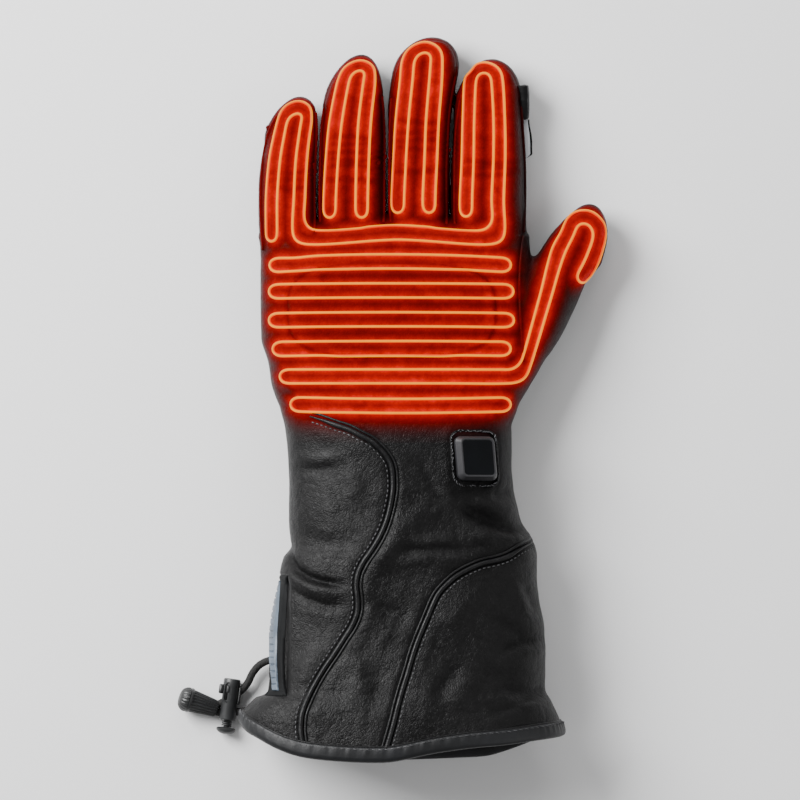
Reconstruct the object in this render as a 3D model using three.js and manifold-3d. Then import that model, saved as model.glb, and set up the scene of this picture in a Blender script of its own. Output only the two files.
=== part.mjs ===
import * as THREE from 'three';
import { mergeVertices } from 'three/addons/utils/BufferGeometryUtils.js';
import Module from 'manifold-3d';

const wasm = await Module();
wasm.setup();

// A left-hand heated gauntlet glove lying palm down, in millimetres.
// X runs towards the thumb, Y towards the fingertips and Z up from the surface it lies on.

// Sizes of the glove
const handLength = 250;
const palmWidth = 124.7;
const palmThickness = 44;
const middleLength = 85;
const fingerThickness = 31;
const thumbLength = 82.8;
const thumbWidth = 27.6;
const thumbThickness = 29;
const thumbLean = 20.2;
const wall = 2.8;
const sideSeamHeight = 14;

// Sizes of what is sewn on
const clearance = 0.3;
const pipingRadius = 1.1;
const bindingWall = 1.2;
const bindingDepth = 6;
const knuckleWidth = 97;
const knuckleHeight = 44;
const knuckleThickness = 1.2;
const knuckleTaper = 6;
const labelWall = 1.5;
const labelLow = 12;
const wiperWall = 2.8;
const wiperWidth = 8;
const wiperLow = 8;
const wiperInset = 4;
const bladeMiddle = 12;
const bladeThickness = 1.4;
const bladeHeight = 2.2;

// Sizes of the heating wire
const wireRadius = 0.8;
const wirePitch = 6.5;
const wireSides = 4;
const wireStep = 2;
const turnPoints = 4;
const wireSlack = 0.25;

// Sizes of the control button
const bezelWidth = 21.6;
const bezelLength = 25.8;
const bezelHeight = 3;
const pocketFloor = 1.5;
const bezelLevelling = 0.35;
const capWidth = 18.8;
const capLength = 20.2;
const capTopWidth = 14.6;
const capTopLength = 16.8;
const capHeight = 4;
const capTravel = 0.8;
const faceThickness = 0.6;
const faceRim = 0.8;

// Sizes of the drawcord and its lock
const cordRadius = 1.55;
const barrelRadius = 4.3;
const barrelLength = 19.3;
const barrelWall = 1.1;
const barrelLip = 1.5;
const barrelTilt = 7.5;
const stemRadius = 1.3;
const plungerTravel = 3;
const plungerHead = 2.8;
const windowWidth = 1.8;
const windowLength = 7;
const endLength = 18.6;
const endRadius = 5.7;
const noseRadius = 3.7;
const endTilt = 18;
const endRibs = 5;
const endSides = 10;
const lockSides = 12;

// How round a section is: 2 gives an ellipse, more gives a squarer one.
const roundness = 2.5;
const bellyShare = 0.42;
const pressedShare = 0.14;
const thinnest = 0.6;
const handSides = 20;
const fingerSides = 12;

// The floor of the cuff rises by this much where the binding wraps it.
const bindingLift = bindingWall + clearance;

function table(columns, rows) {
  return rows.map((row) => Object.fromEntries(columns.map((name, i) => [name, row[i]])));
}

// Sections of the hand from the hem to the roots of the fingers.
// along is a share of handLength, left and right of palmWidth, top of palmThickness, lift of bindingLift.
const handSections = table(
  ['along', 'left', 'right', 'top', 'lift'],
  [
    [-0.05, -0.683, 0.531, 1.45, 1],
    [0.04, -0.683, 0.524, 1.43, 1],
    [0.064, -0.683, 0.517, 1.41, 1],
    [0.092, -0.675, 0.498, 1.39, 1],
    [0.116, -0.635, 0.476, 1.37, 1],
    [0.138, -0.59, 0.458, 1.34, 0],
    [0.249, -0.568, 0.446, 1.26, 0],
    [0.304, -0.554, 0.424, 1.23, 0],
    [0.35, -0.533, 0.413, 1.2, 0],
    [0.383, -0.517, 0.413, 1.19, 0],
    [0.405, -0.487, 0.408, 1.18, 0],
    [0.451, -0.491, 0.362, 1.16, 0],
    [0.497, -0.491, 0.339, 1.14, 0],
    [0.552, -0.498, 0.328, 1.11, 0],
    [0.617, -0.509, 0.328, 1.09, 0],
    [0.654, -0.528, 0.347, 1.07, 0],
    [0.698, -0.557, 0.384, 1.05, 0],
    [0.786, -0.598, 0.413, 1, 0],
    [0.856, -0.601, 0.41, 0.98, 0],
    [0.926, -0.601, 0.399, 0.93, 0],
    [0.967, -0.605, 0.391, 0.84, 0],
    [0.987, -0.603, 0.387, 0.73, 0],
    [1, -0.594, 0.38, 0.57, 0],
  ],
);

// length is a share of middleLength, width and across of palmWidth.
const fingers = table(
  ['name', 'length', 'width', 'across'],
  [
    ['little', 0.682, 0.214, -0.502],
    ['ring', 0.913, 0.251, -0.262],
    ['middle', 1, 0.2325, -0.018],
    ['index', 0.886, 0.288, 0.244],
  ],
);

// Sections of each finger from inside the hand to its tip.
// along is a share of the finger's length, left and right of its width.
const fingerSections = {
  little: table(
    ['along', 'left', 'right'],
    [
      [-0.317, -0.431, 0.5],
      [0, -0.5, 0.49],
      [0.278, -0.491, 0.485],
      [0.492, -0.448, 0.49],
      [0.698, -0.379, 0.5],
      [0.81, -0.293, 0.505],
      [0.889, -0.181, 0.49],
      [0.952, -0.034, 0.431],
      [0.99, 0.086, 0.345],
    ],
  ),
  ring: table(
    ['along', 'left', 'right'],
    [
      [-0.237, -0.471, 0.485],
      [0, -0.49, 0.495],
      [0.249, -0.49, 0.495],
      [0.485, -0.475, 0.49],
      [0.663, -0.434, 0.475],
      [0.805, -0.353, 0.449],
      [0.876, -0.257, 0.412],
      [0.935, -0.147, 0.36],
      [0.99, 0.02, 0.26],
    ],
  ),
  middle: table(
    ['along', 'left', 'right'],
    [
      [-0.216, -0.46, 0.476],
      [0, -0.472, 0.485],
      [0.227, -0.472, 0.485],
      [0.411, -0.474, 0.5],
      [0.605, -0.47, 0.535],
      [0.735, -0.444, 0.61],
      [0.865, -0.365, 0.667],
      [0.93, -0.238, 0.627],
      [0.99, 0, 0.44],
    ],
  ),
  index: table(
    ['along', 'left', 'right'],
    [
      [-0.244, -0.464, 0.472],
      [0, -0.475, 0.478],
      [0.317, -0.47, 0.485],
      [0.463, -0.465, 0.472],
      [0.683, -0.425, 0.44],
      [0.829, -0.335, 0.395],
      [0.902, -0.262, 0.335],
      [0.963, -0.154, 0.228],
      [0.994, -0.038, 0.115],
    ],
  ),
};

// How a finger's top and underside run, as shares of fingerThickness.
const fingerHeights = table(
  ['along', 'low', 'top'],
  [
    [-0.32, 0, 1],
    [0, 0, 1],
    [0.3, 0, 0.92],
    [0.6, 0, 0.84],
    [0.8, 0, 0.76],
    [0.9, 0.03, 0.68],
    [0.96, 0.1, 0.57],
    [1, 0.17, 0.45],
  ],
);

// Sections of the thumb, leaning by thumbLean from its root, as shares of its length, width and thickness.
const thumbRoot = { across: 0.387, along: 0.724 };
const thumbSections = table(
  ['along', 'left', 'right', 'low', 'top'],
  [
    [-0.06, -0.55, 0.12, 0, 1.1],
    [0.085, -0.62, 0.2, 0, 1.12],
    [0.17, -0.64, 0.27, 0, 1.1],
    [0.32, -0.64, 0.35, 0, 1.06],
    [0.46, -0.62, 0.39, 0, 1],
    [0.58, -0.58, 0.4, 0, 0.95],
    [0.67, -0.5, 0.38, 0, 0.92],
    [0.78, -0.42, 0.38, 0, 0.88],
    [0.87, -0.31, 0.37, 0, 0.82],
    [0.935, -0.22, 0.31, 0.04, 0.72],
    [0.975, -0.13, 0.15, 0.14, 0.6],
    [0.99, -0.07, 0.07, 0.2, 0.5],
  ],
);

// The thumb leaves the hand along this line, across as shares of palmWidth and along of handLength.
const thumbLine = table(
  ['across', 'along'],
  [
    [0.396, 0.96],
    [0.402, 0.86],
    [0.405, 0.78],
    [0.385, 0.715],
  ],
);

// The edge of the cuff seen from above, from the little finger's side to the thumb's.
const hemLine = table(
  ['across', 'along'],
  [
    [-0.78, 0.125],
    [-0.69, 0.088],
    [-0.655, 0.063],
    [-0.54, 0.031],
    [-0.43, 0.013],
    [-0.2, 0.004],
    [-0.1, 0.008],
    [0.03, 0.021],
    [0.3, 0.038],
    [0.5, 0.05],
    [0.62, 0.062],
  ],
);

// The seams between the middle of the cuff and its side panels, from the wrist to beyond the hem.
const littleSeam = table(
  ['across', 'along'],
  [
    [-0.62, 0.668],
    [-0.52, 0.655],
    [-0.38, 0.6365],
    [-0.31, 0.624],
    [-0.19, 0.597],
    [-0.116, 0.552],
    [-0.116, 0.486],
    [-0.185, 0.398],
    [-0.242, 0.322],
    [-0.26, 0.258],
    [-0.363, 0.179],
    [-0.443, 0.098],
    [-0.445, 0.03],
    [-0.44, -0.08],
  ],
);
const thumbSeam = table(
  ['across', 'along'],
  [
    [0.5, 0.427],
    [0.4, 0.411],
    [0.312, 0.3855],
    [0.218, 0.3725],
    [0.124, 0.35],
    [0.053, 0.315],
    [0.011, 0.268],
    [-0.037, 0.206],
    [-0.074, 0.1455],
    [-0.107, 0.083],
    [-0.136, 0.031],
    [-0.17, -0.08],
  ],
);
// Where each seam's piping begins, as a share of the seam's length.
const pipingStarts = { little: 0.18, thumb: 0.11 };

// Loops of wire across the back of the hand; along is the middle of a loop.
const wireRows = table(
  ['along', 'left', 'right'],
  [
    [0.927, -0.568, 0.327],
    [0.874, -0.57, 0.336],
    [0.821, -0.57, 0.338],
    [0.768, -0.556, 0.326],
    [0.662, -0.49, 0.325],
  ],
);

// Wire on the fingers. along is a share of the finger's length, the rest of its width.
const fingerWires = {
  little: table(
    ['along', 'centre', 'outer', 'inner'],
    [
      [0, -0.02, 0.325, 0.14],
      [0.2, -0.02, 0.325, 0.14],
      [0.49, 0.02, 0.314, 0.132],
      [0.65, 0.07, 0.3, 0.125],
      [0.81, 0.135, 0.28, 0.115],
      [0.955, 0.2, 0, 0],
    ],
  ),
  ring: table(
    ['along', 'centre', 'outer', 'inner'],
    [
      [0, -0.09, 0.316, 0.142],
      [0.13, -0.088, 0.316, 0.142],
      [0.37, -0.065, 0.308, 0.132],
      [0.6, -0.022, 0.296, 0.119],
      [0.84, 0.068, 0.265, 0.103],
      [0.955, 0.13, 0, 0],
    ],
  ),
  middle: table(
    ['along', 'centre', 'outer', 'inner'],
    [
      [0, -0.07, 0.335, 0.143],
      [0.12, -0.07, 0.335, 0.143],
      [0.34, -0.041, 0.335, 0.143],
      [0.55, -0.01, 0.333, 0.136],
      [0.77, 0.05, 0.324, 0.131],
      [0.955, 0.12, 0, 0],
    ],
  ),
  index: table(
    ['along', 'centre', 'outer', 'inner'],
    [
      [0, -0.09, 0.274, 0.122],
      [0.13, -0.09, 0.274, 0.122],
      [0.38, -0.069, 0.272, 0.124],
      [0.62, -0.064, 0.263, 0.121],
      [0.87, -0.065, 0.237, 0.094],
      [0.955, -0.06, 0, 0],
    ],
  ),
};
// The ends of the strands at the roots of the fingers, as shares of handLength.
const wireEnds = { little: 0.9735, ring: 1.016, middle: 1.025, index: 1.018 };
// Strands that cross from the little finger to the index finger.
const crossStrands = { upper: 0.989, lower: 0.966 };

// Wire on the thumb, along its length, as shares of its length and width.
const thumbWires = table(
  ['along', 'centre', 'outer', 'inner'],
  [
    [0.6, 0.06, 0.335, 0.15],
    [0.7, 0.07, 0.35, 0.155],
    [0.8, 0.08, 0.33, 0.14],
    [0.955, 0.02, 0, 0],
  ],
);
// The two strands that rise from the lowest row into the thumb.
const thumbRise = table(
  ['along', 'outer', 'inner'],
  [
    [0.104, -0.18, -0.014],
    [0.22, -0.205, -0.03],
    [0.335, -0.23, -0.05],
    [0.45, -0.258, -0.07],
  ],
);
const thumbRow = { upper: 0.729, lower: 0.7035, left: -0.53, turn: 0.335 };

const buttonPlace = { across: 0.188, along: 0.5635 };
const labelSpan = { right: -0.5, from: 0.129, to: 0.35 };
const wiperSpan = { from: 0.625, to: 0.835 };
const bladeSpan = { from: 0.384, to: 0.615 };

// Where the lock lies and how far along the cord end meets it, as shares of palmWidth and handLength.
const lockPlace = { across: -0.705, along: 0.1565 };
const endAlong = 0.1005;

// The drawcord's route, point by point, in millimetres from the middle of the hem.
const upperCord = [
  [-65.4, 47, 7.3],
  [-71.5, 46.2, 5.6],
  [-76.8, 42, 4.6],
  [-79.4, 37.6, 4.4],
  [-82.8, 35, 4.3],
];
const lowerCord = [
  [-71.2, 25.4, 5],
  [-80, 24.6, 3.8],
  [-83.5, 24, 3.8],
  [-84.6, 23.4, 3.9],
];

function signedPower(value, power) {
  return Math.sign(value) * Math.abs(value) ** power;
}

// A table's value at a place along it, on straight lines between its rows.
function valueAt(rows, along, name) {
  const next = rows.findIndex((row) => row.along >= along);
  if (next === 0) return rows[0][name];
  if (next < 0) return rows[rows.length - 1][name];
  const [a, b] = [rows[next - 1], rows[next]];
  return THREE.MathUtils.mapLinear(along, a.along, b.along, a[name], b[name]);
}

// One closed section, pressed flat where it rests. grow moves it outwards, or inwards for the hollow.
function sectionPoints({ y, left, right, low, top }, grow, sides) {
  const middle = (left + right) / 2;
  const half = Math.max((right - left) / 2 + grow, thinnest);
  const belly = low + (top - low) * bellyShare;
  const up = Math.max(top - belly + grow, thinnest);
  const down = Math.max((belly - low) * (1 + pressedShare) + grow, thinnest);
  const floor = Math.min(low - grow, belly - thinnest);
  return Array.from({ length: sides }, (_, i) => {
    const angle = (2 * Math.PI * i) / sides;
    const x = middle + half * signedPower(Math.cos(angle), 2 / roundness);
    const reach = Math.sin(angle) > 0 ? up : down;
    const z = belly + reach * signedPower(Math.sin(angle), 2 / roundness);
    return new THREE.Vector3(x, y, Math.max(z, floor));
  });
}

// A closed skin through rings of points; looped joins the last ring to the first.
function loft(rings, looped = false) {
  const sides = rings[0].length;
  const points = rings.flat();
  const faces = [];
  const spans = looped ? rings.length : rings.length - 1;
  for (let i = 0; i < spans; i += 1) {
    const near = i * sides;
    const far = ((i + 1) % rings.length) * sides;
    for (let k = 0; k < sides; k += 1) {
      const next = (k + 1) % sides;
      faces.push(near + k, far + k, near + next);
      faces.push(near + next, far + k, far + next);
    }
  }
  if (!looped) {
    const last = (rings.length - 1) * sides;
    const centre = (ring) => ring.reduce((sum, p) => sum.add(p), new THREE.Vector3()).divideScalar(sides);
    points.push(centre(rings[0]), centre(rings[rings.length - 1]));
    for (let k = 0; k < sides; k += 1) {
      const next = (k + 1) % sides;
      faces.push(points.length - 2, k, next);
      faces.push(points.length - 1, last + next, last + k);
    }
  }
  const geometry = new THREE.BufferGeometry().setFromPoints(points);
  geometry.setIndex(faces);
  return facingOut(geometry);
}

// Turns a closed mesh's faces outwards.
function facingOut(geometry) {
  const at = geometry.attributes.position;
  const index = geometry.index.array;
  const corner = (i) => new THREE.Vector3().fromBufferAttribute(at, index[i]);
  let volume = 0;
  for (let i = 0; i < index.length; i += 3) {
    volume += corner(i).dot(corner(i + 1).cross(corner(i + 2)));
  }
  if (volume < 0) index.reverse();
  return geometry;
}

// The library's solid of a closed geometry, and back.
function solidOf(geometry) {
  const bare = geometry.clone();
  bare.deleteAttribute('normal');
  bare.deleteAttribute('uv');
  const merged = mergeVertices(bare, 1e-4);
  const mesh = new wasm.Mesh({
    numProp: 3,
    vertProperties: new Float32Array(merged.attributes.position.array),
    triVerts: new Uint32Array(merged.index.array),
  });
  return new wasm.Manifold(mesh);
}

function geometryOf(solid) {
  const mesh = solid.getMesh();
  const geometry = new THREE.BufferGeometry();
  geometry.setAttribute('position', new THREE.BufferAttribute(mesh.vertProperties, 3));
  geometry.setIndex(new THREE.BufferAttribute(mesh.triVerts, 1));
  geometry.computeVertexNormals();
  return geometry;
}

// A prism over an outline seen from above.
function prism(outline, low, high) {
  const shape = new THREE.Shape(outline.map(([x, y]) => new THREE.Vector2(x, y)));
  const geometry = new THREE.ExtrudeGeometry(shape, { depth: high - low, bevelEnabled: false });
  return solidOf(geometry.translate(0, 0, low));
}

const [below, above] = [-20, 120];
const [farLeft, farRight] = [-palmWidth * 1.2, palmWidth * 1.2];
const [farDown, farUp] = [-handLength * 0.2, handLength * 2];

// The hand, a finger or the thumb as a solid, grown by grow.
function handSolid(grow) {
  const rings = handSections.map((row) =>
    sectionPoints(
      {
        y: row.along * (handLength + (row.along > 0.5 ? grow : 0)),
        left: row.left * palmWidth,
        right: row.right * palmWidth,
        low: row.lift * bindingLift,
        top: row.top * palmThickness,
      },
      grow,
      handSides,
    ),
  );
  return solidOf(loft(rings));
}

function fingerSize(finger) {
  return {
    length: finger.length * middleLength,
    width: finger.width * palmWidth,
    across: finger.across * palmWidth,
  };
}

function fingerSolid(finger, grow) {
  const { length, width, across } = fingerSize(finger);
  const rings = fingerSections[finger.name].map((row) =>
    sectionPoints(
      {
        y: handLength + row.along * (length + (row.along > 0 ? grow : 0)),
        left: across + row.left * width,
        right: across + row.right * width,
        low: valueAt(fingerHeights, row.along, 'low') * fingerThickness,
        top: valueAt(fingerHeights, row.along, 'top') * fingerThickness,
      },
      grow,
      fingerSides,
    ),
  );
  return solidOf(loft(rings));
}

// Places what is drawn along the thumb's own length.
const thumbFrame = new THREE.Matrix4()
  .makeTranslation(thumbRoot.across * palmWidth, thumbRoot.along * handLength, 0)
  .multiply(new THREE.Matrix4().makeRotationZ(THREE.MathUtils.degToRad(-thumbLean)));

function thumbSolid(grow) {
  const rings = thumbSections.map((row) =>
    sectionPoints(
      {
        y: row.along * (thumbLength + (row.along > 0.5 ? grow : 0)),
        left: row.left * thumbWidth,
        right: row.right * thumbWidth,
        low: row.low * thumbThickness,
        top: row.top * thumbThickness,
      },
      grow,
      fingerSides,
    ).map((p) => p.applyMatrix4(thumbFrame)),
  );
  return solidOf(loft(rings));
}

// A smooth line through a table's places, moved sideways by shift.
function planLine(rows, count, shift = 0) {
  const places = rows.map((row) => new THREE.Vector3(row.across * palmWidth, row.along * handLength, 0));
  const curve = new THREE.CatmullRomCurve3(places, false, 'centripetal');
  return Array.from({ length: count + 1 }, (_, i) => {
    const at = curve.getPointAt(i / count);
    const ahead = curve.getTangentAt(i / count);
    return [at.x - ahead.y * shift, at.y + ahead.x * shift];
  });
}

// The region beyond the hem, raised by rise towards the fingers.
function beyondHem(rise) {
  const line = planLine(hemLine, 16).map(([x, y]) => [x, y + rise]);
  const left = [farLeft, line[0][1]];
  const right = [farRight, line[line.length - 1][1]];
  return prism([[farLeft, farDown], [farRight, farDown], right, ...line.reverse(), left], below, above);
}

// The region on the little finger's side of its seam, and the one on the thumb's side.
function littleSide(shift) {
  const line = planLine(littleSeam, 18, shift);
  const first = [farLeft, line[0][1]];
  return prism([first, [farLeft, farDown], ...line.reverse()], below, above);
}

function thumbSide(shift) {
  const line = planLine(thumbSeam, 14, shift);
  return prism([...line, [farRight, farDown], [farRight, line[0][1]]], below, above);
}

function thumbRegion(shift) {
  const line = planLine(thumbLine, 6, shift);
  const last = line[line.length - 1];
  last[1] += shift;
  return prism([...line, [farRight, last[1]], [farRight, farUp], [line[0][0], farUp]], below, above);
}

function slab(fromX, toX, fromY, toY, low = below, high = above) {
  return prism([[fromX, fromY], [toX, fromY], [toX, toY], [fromX, toY]], low, high);
}

function joined(solids) {
  return solids.reduce((sum, solid) => sum.add(solid));
}

// The whole glove outside and inside, with the hollow open at the hem.
const outerHand = handSolid(0);
const innerHand = handSolid(-wall);
const outerThumb = thumbSolid(0);
const innerThumb = thumbSolid(-wall);
const outerFingers = fingers.map((finger) => fingerSolid(finger, 0));
const innerFingers = fingers.map((finger) => fingerSolid(finger, -wall));

const hollow = joined([innerHand, innerThumb, ...innerFingers]);
const beyondFingers = slab(farLeft, farRight, handLength, farUp);
const handAndThumb = joined([outerHand, outerThumb, ...outerFingers.map((f) => f.subtract(beyondFingers))])
  .subtract(hollow)
  .subtract(beyondHem(bindingWall + clearance));

const thumbPiece = outerThumb
  .add(outerHand)
  .subtract(hollow)
  .intersect(thumbRegion(clearance));
const handPiece = handAndThumb
  .subtract(thumbRegion(0))
  .subtract(littleSide(0))
  .subtract(thumbSide(0));
// The back and the palm of the hand meet in a seam along the sides.
const backPiece = handPiece.intersect(slab(farLeft, farRight, farDown, farUp, sideSeamHeight + clearance / 2));
const palmPiece = handPiece.intersect(slab(farLeft, farRight, farDown, farUp, below, sideSeamHeight - clearance / 2));
const littlePanel = handAndThumb.intersect(littleSide(-clearance));
const thumbPanel = handAndThumb.intersect(thumbSide(clearance));
const fingerPieces = outerFingers.map((finger, i) =>
  finger
    .subtract(innerFingers[i])
    .intersect(slab(farLeft, farRight, handLength + clearance, farUp)),
);

function hemBinding() {
  const sleeve = handSolid(clearance + bindingWall)
    .subtract(handSolid(clearance).subtract(beyondHem(bindingWall)))
    .subtract(hollow);
  return sleeve.subtract(beyondHem(0)).intersect(beyondHem(bindingDepth));
}

// A thin patch that follows the skin, inside a region seen from above.
function patch(base, region, gap, thickness) {
  return base(gap + thickness).subtract(base(gap)).intersect(region);
}

const knuckleCentre = { x: -0.116 * palmWidth, y: 0.836 * handLength };
function knuckleOutline(grow) {
  return Array.from({ length: 28 }, (_, i) => {
    const angle = (2 * Math.PI * i) / 28;
    return [
      knuckleCentre.x + (knuckleWidth / 2 + grow) * signedPower(Math.cos(angle), 0.5),
      knuckleCentre.y + (knuckleHeight / 2 + grow) * signedPower(Math.sin(angle), 0.5),
    ];
  });
}

// How far the knuckle panel lifts what lies over it, tapering to nothing beyond its edge.
function knuckleLift(x, y) {
  const inside = (grow) =>
    Math.abs((x - knuckleCentre.x) / (knuckleWidth / 2 + grow)) ** 4 +
      Math.abs((y - knuckleCentre.y) / (knuckleHeight / 2 + grow)) ** 4 <
    1;
  for (let step = 0; step <= knuckleTaper; step += 0.5) {
    if (inside(1.5 + step)) return (knuckleThickness + clearance) * (1 - step / knuckleTaper);
  }
  return 0;
}

// The skin as seen from above, for laying wire and piping on it.
const skin = [outerHand, outerThumb, ...outerFingers].map((solid) => {
  const mesh = new THREE.Mesh(geometryOf(solid));
  mesh.updateMatrixWorld();
  return mesh;
});
// Nothing that is laid on the skin comes nearer to it than this solid.
const trimmed = clearance / 2;
const nearSkin = joined([
  handSolid(trimmed),
  thumbSolid(trimmed),
  ...fingers.map((finger) => fingerSolid(finger, trimmed)),
]);
const caster = new THREE.Raycaster();
const down = new THREE.Vector3(0, 0, -1);

function skinAt(x, y) {
  caster.set(new THREE.Vector3(x, y, above), down);
  const [hit] = caster.intersectObjects(skin, false);
  return hit ? { point: hit.point, normal: hit.face.normal.clone() } : null;
}

// Every place of a plan line laid on the skin, with the skin's normal evened out along the line.
function laidOnSkin(line, looped) {
  const hits = line.map(([x, y]) => skinAt(x, y)).filter(Boolean);
  const evened = hits.map((_, i) => {
    const sum = new THREE.Vector3();
    for (let k = -2; k <= 2; k += 1) {
      const j = looped ? (i + k + hits.length) % hits.length : THREE.MathUtils.clamp(i + k, 0, hits.length - 1);
      sum.add(hits[j].normal);
    }
    return sum.normalize();
  });
  return hits.map((hit, i) => ({ point: hit.point, normal: evened[i] }));
}

// Leaves out places that lie within slack of the straight line between the kept ones.
function thinned(places, slack) {
  const keep = new Set([0, places.length - 1]);
  const split = (from, to) => {
    const line = new THREE.Line3(places[from].point, places[to].point);
    let [worst, at] = [slack, -1];
    for (let i = from + 1; i < to; i += 1) {
      const nearest = line.closestPointToPoint(places[i].point, true, new THREE.Vector3());
      const off = nearest.distanceTo(places[i].point);
      if (off > worst) [worst, at] = [off, i];
    }
    if (at < 0) return;
    keep.add(at);
    split(from, at);
    split(at, to);
  };
  split(0, Math.floor(places.length / 2));
  split(Math.floor(places.length / 2), places.length - 1);
  keep.add(Math.floor(places.length / 2));
  return [...keep].sort((a, b) => a - b).map((i) => places[i]);
}

// A round tube along places on the skin, held clear of it by lift.
function skinTube(places, radius, sides, looped, lift = () => 0) {
  const centres = places.map(({ point, normal }) =>
    point.clone().addScaledVector(normal, radius + clearance + wireSlack + lift(point.x, point.y)),
  );
  const count = centres.length;
  const rings = centres.map((centre, i) => {
    const before = centres[looped ? (i - 1 + count) % count : Math.max(i - 1, 0)];
    const after = centres[looped ? (i + 1) % count : Math.min(i + 1, count - 1)];
    const ahead = after.clone().sub(before).normalize();
    const side = new THREE.Vector3().crossVectors(ahead, places[i].normal).normalize();
    const up = new THREE.Vector3().crossVectors(side, ahead).normalize();
    return Array.from({ length: sides }, (_, k) => {
      const angle = (2 * Math.PI * (k + 0.5)) / sides - Math.PI / 2;
      return centre
        .clone()
        .addScaledVector(side, radius * Math.cos(angle))
        .addScaledVector(up, radius * Math.sin(angle));
    });
  });
  return loft(rings, looped);
}

// Points of a straight or smooth run about wireStep apart, ends included.
function run(points) {
  const curve = new THREE.CatmullRomCurve3(
    points.map(([x, y]) => new THREE.Vector3(x, y, 0)),
    false,
    'centripetal',
  );
  const count = Math.max(2, Math.round(curve.getLength() / wireStep));
  return curve.getSpacedPoints(count).map((p) => [p.x, p.y]);
}

// A half turn from one point to another, bulging ahead of them.
function halfTurn([x0, y0], [x1, y1], aheadX, aheadY, reach = 0.5) {
  const width = Math.hypot(x1 - x0, y1 - y0);
  return Array.from({ length: turnPoints }, (_, i) => {
    const angle = (Math.PI * (i + 1)) / (turnPoints + 1);
    const across = (1 - Math.cos(angle)) / 2;
    const ahead = width * reach * Math.sin(angle);
    return [x0 + (x1 - x0) * across + aheadX * ahead, y0 + (y1 - y0) * across + aheadY * ahead];
  });
}

function wire(name, line) {
  const places = laidOnSkin(line, true);
  const kept = thinned([...places, places[0]], wireSlack).slice(0, -1);
  const tube = solidOf(skinTube(kept, wireRadius, wireSides, true, knuckleLift));
  return part(name, tube.subtract(nearSkin), materials.wire);
}

// The strands of one finger, running from its root to its tip and back.
function fingerStrand(finger, which, fromY) {
  const { length, width, across } = fingerSize(finger);
  const rows = fingerWires[finger.name];
  const tip = rows[rows.length - 1];
  const reach = which === 'outer' ? 0 : wirePitch * 0.85;
  const side = (sign) =>
    rows.slice(0, -1).map((row) => [
      across + (row.centre + sign * row[which]) * width,
      handLength + row.along * length,
    ]);
  const left = side(-1);
  const right = side(1);
  left[0][1] = fromY;
  right[0][1] = fromY;
  const top = [across + tip.centre * width, handLength + tip.along * length - reach];
  const shoulder = (points) => {
    const [x, y] = points[points.length - 1];
    return [THREE.MathUtils.lerp(x, top[0], 0.36), THREE.MathUtils.lerp(y, top[1], 0.76)];
  };
  return {
    left,
    right,
    over: [shoulder(left), top, shoulder(right)],
  };
}

// A closed loop that goes up and over a finger twice.
function doubleLoop(finger) {
  const rootY = wireEnds[finger.name] * handLength;
  const outer = fingerStrand(finger, 'outer', rootY);
  const inner = fingerStrand(finger, 'inner', rootY);
  const outerRun = run([...outer.left, ...outer.over, ...outer.right.slice().reverse()]);
  const innerRun = run([...inner.right, ...inner.over.slice().reverse(), ...inner.left.slice().reverse()]);
  return [
    ...outerRun,
    ...halfTurn(outerRun[outerRun.length - 1], innerRun[0], 0, -1),
    ...innerRun,
    ...halfTurn(innerRun[innerRun.length - 1], outerRun[0], 0, -1),
  ];
}

// One closed loop over the little and the index finger, crossing below the two between them.
function joinedLoop() {
  const little = fingers[0];
  const index = fingers[3];
  const upperY = crossStrands.upper * handLength;
  const lowerY = crossStrands.lower * handLength;
  const bottoms = (finger, leftY) => {
    const outer = fingerStrand(finger, 'outer', leftY);
    const inner = fingerStrand(finger, 'inner', leftY);
    return { outer, inner };
  };
  const a = bottoms(little, wireEnds.little * handLength);
  const b = bottoms(index, wireEnds.index * handLength);
  const corner = 3;
  const upper = [
    ...a.outer.left,
    ...a.outer.over,
    ...a.outer.right.slice(1).reverse(),
    [a.outer.right[0][0], upperY + corner],
    [a.outer.right[0][0] + corner, upperY],
    [(a.outer.right[0][0] + b.inner.right[0][0]) / 2, upperY + 1.4],
    [b.inner.right[0][0] - corner, upperY],
    [b.inner.right[0][0], upperY + corner],
    ...b.inner.right.slice(1),
    ...b.inner.over.slice().reverse(),
    ...b.inner.left.slice().reverse(),
  ];
  const lower = [
    ...b.outer.left,
    ...b.outer.over,
    ...b.outer.right.slice(1).reverse(),
    [b.outer.right[0][0], lowerY + corner],
    [b.outer.right[0][0] - corner, lowerY],
    [(a.inner.right[0][0] + b.outer.right[0][0]) / 2, lowerY + 1.4],
    [a.inner.right[0][0] + corner, lowerY],
    [a.inner.right[0][0], lowerY + corner],
    ...a.inner.right.slice(1),
    ...a.inner.over.slice().reverse(),
    ...a.inner.left.slice().reverse(),
  ];
  const first = run(upper);
  const second = run(lower);
  return [
    ...first,
    ...halfTurn(first[first.length - 1], second[0], 0, -1),
    ...second,
    ...halfTurn(second[second.length - 1], first[0], 0, -1),
  ];
}

// A long loop across the back of the hand.
function rowLoop({ along, left, right }) {
  const y = along * handLength;
  const half = wirePitch / 2;
  const from = left * palmWidth + half;
  const to = right * palmWidth - half;
  const top = run([[from, y + half], [to, y + half]]);
  const bottom = run([[to, y - half], [from, y - half]]);
  return [...top, ...halfTurn([to, y + half], [to, y - half], 1, 0), ...bottom, ...halfTurn([from, y - half], [from, y + half], -1, 0)];
}

// The bends between that row and the thumb, as shares of the wire pitch.
const bendOut = table(['across', 'along'], [[-4.6, 0], [-0.92, 0], [-0.15, 0.03], [0.43, 0.48]]);
const bendBack = table(['across', 'along'], [[1.2, 1.46], [0.78, 0.46], [0.22, 0.11], [-0.92, 0], [-4.6, 0]]);

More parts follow.
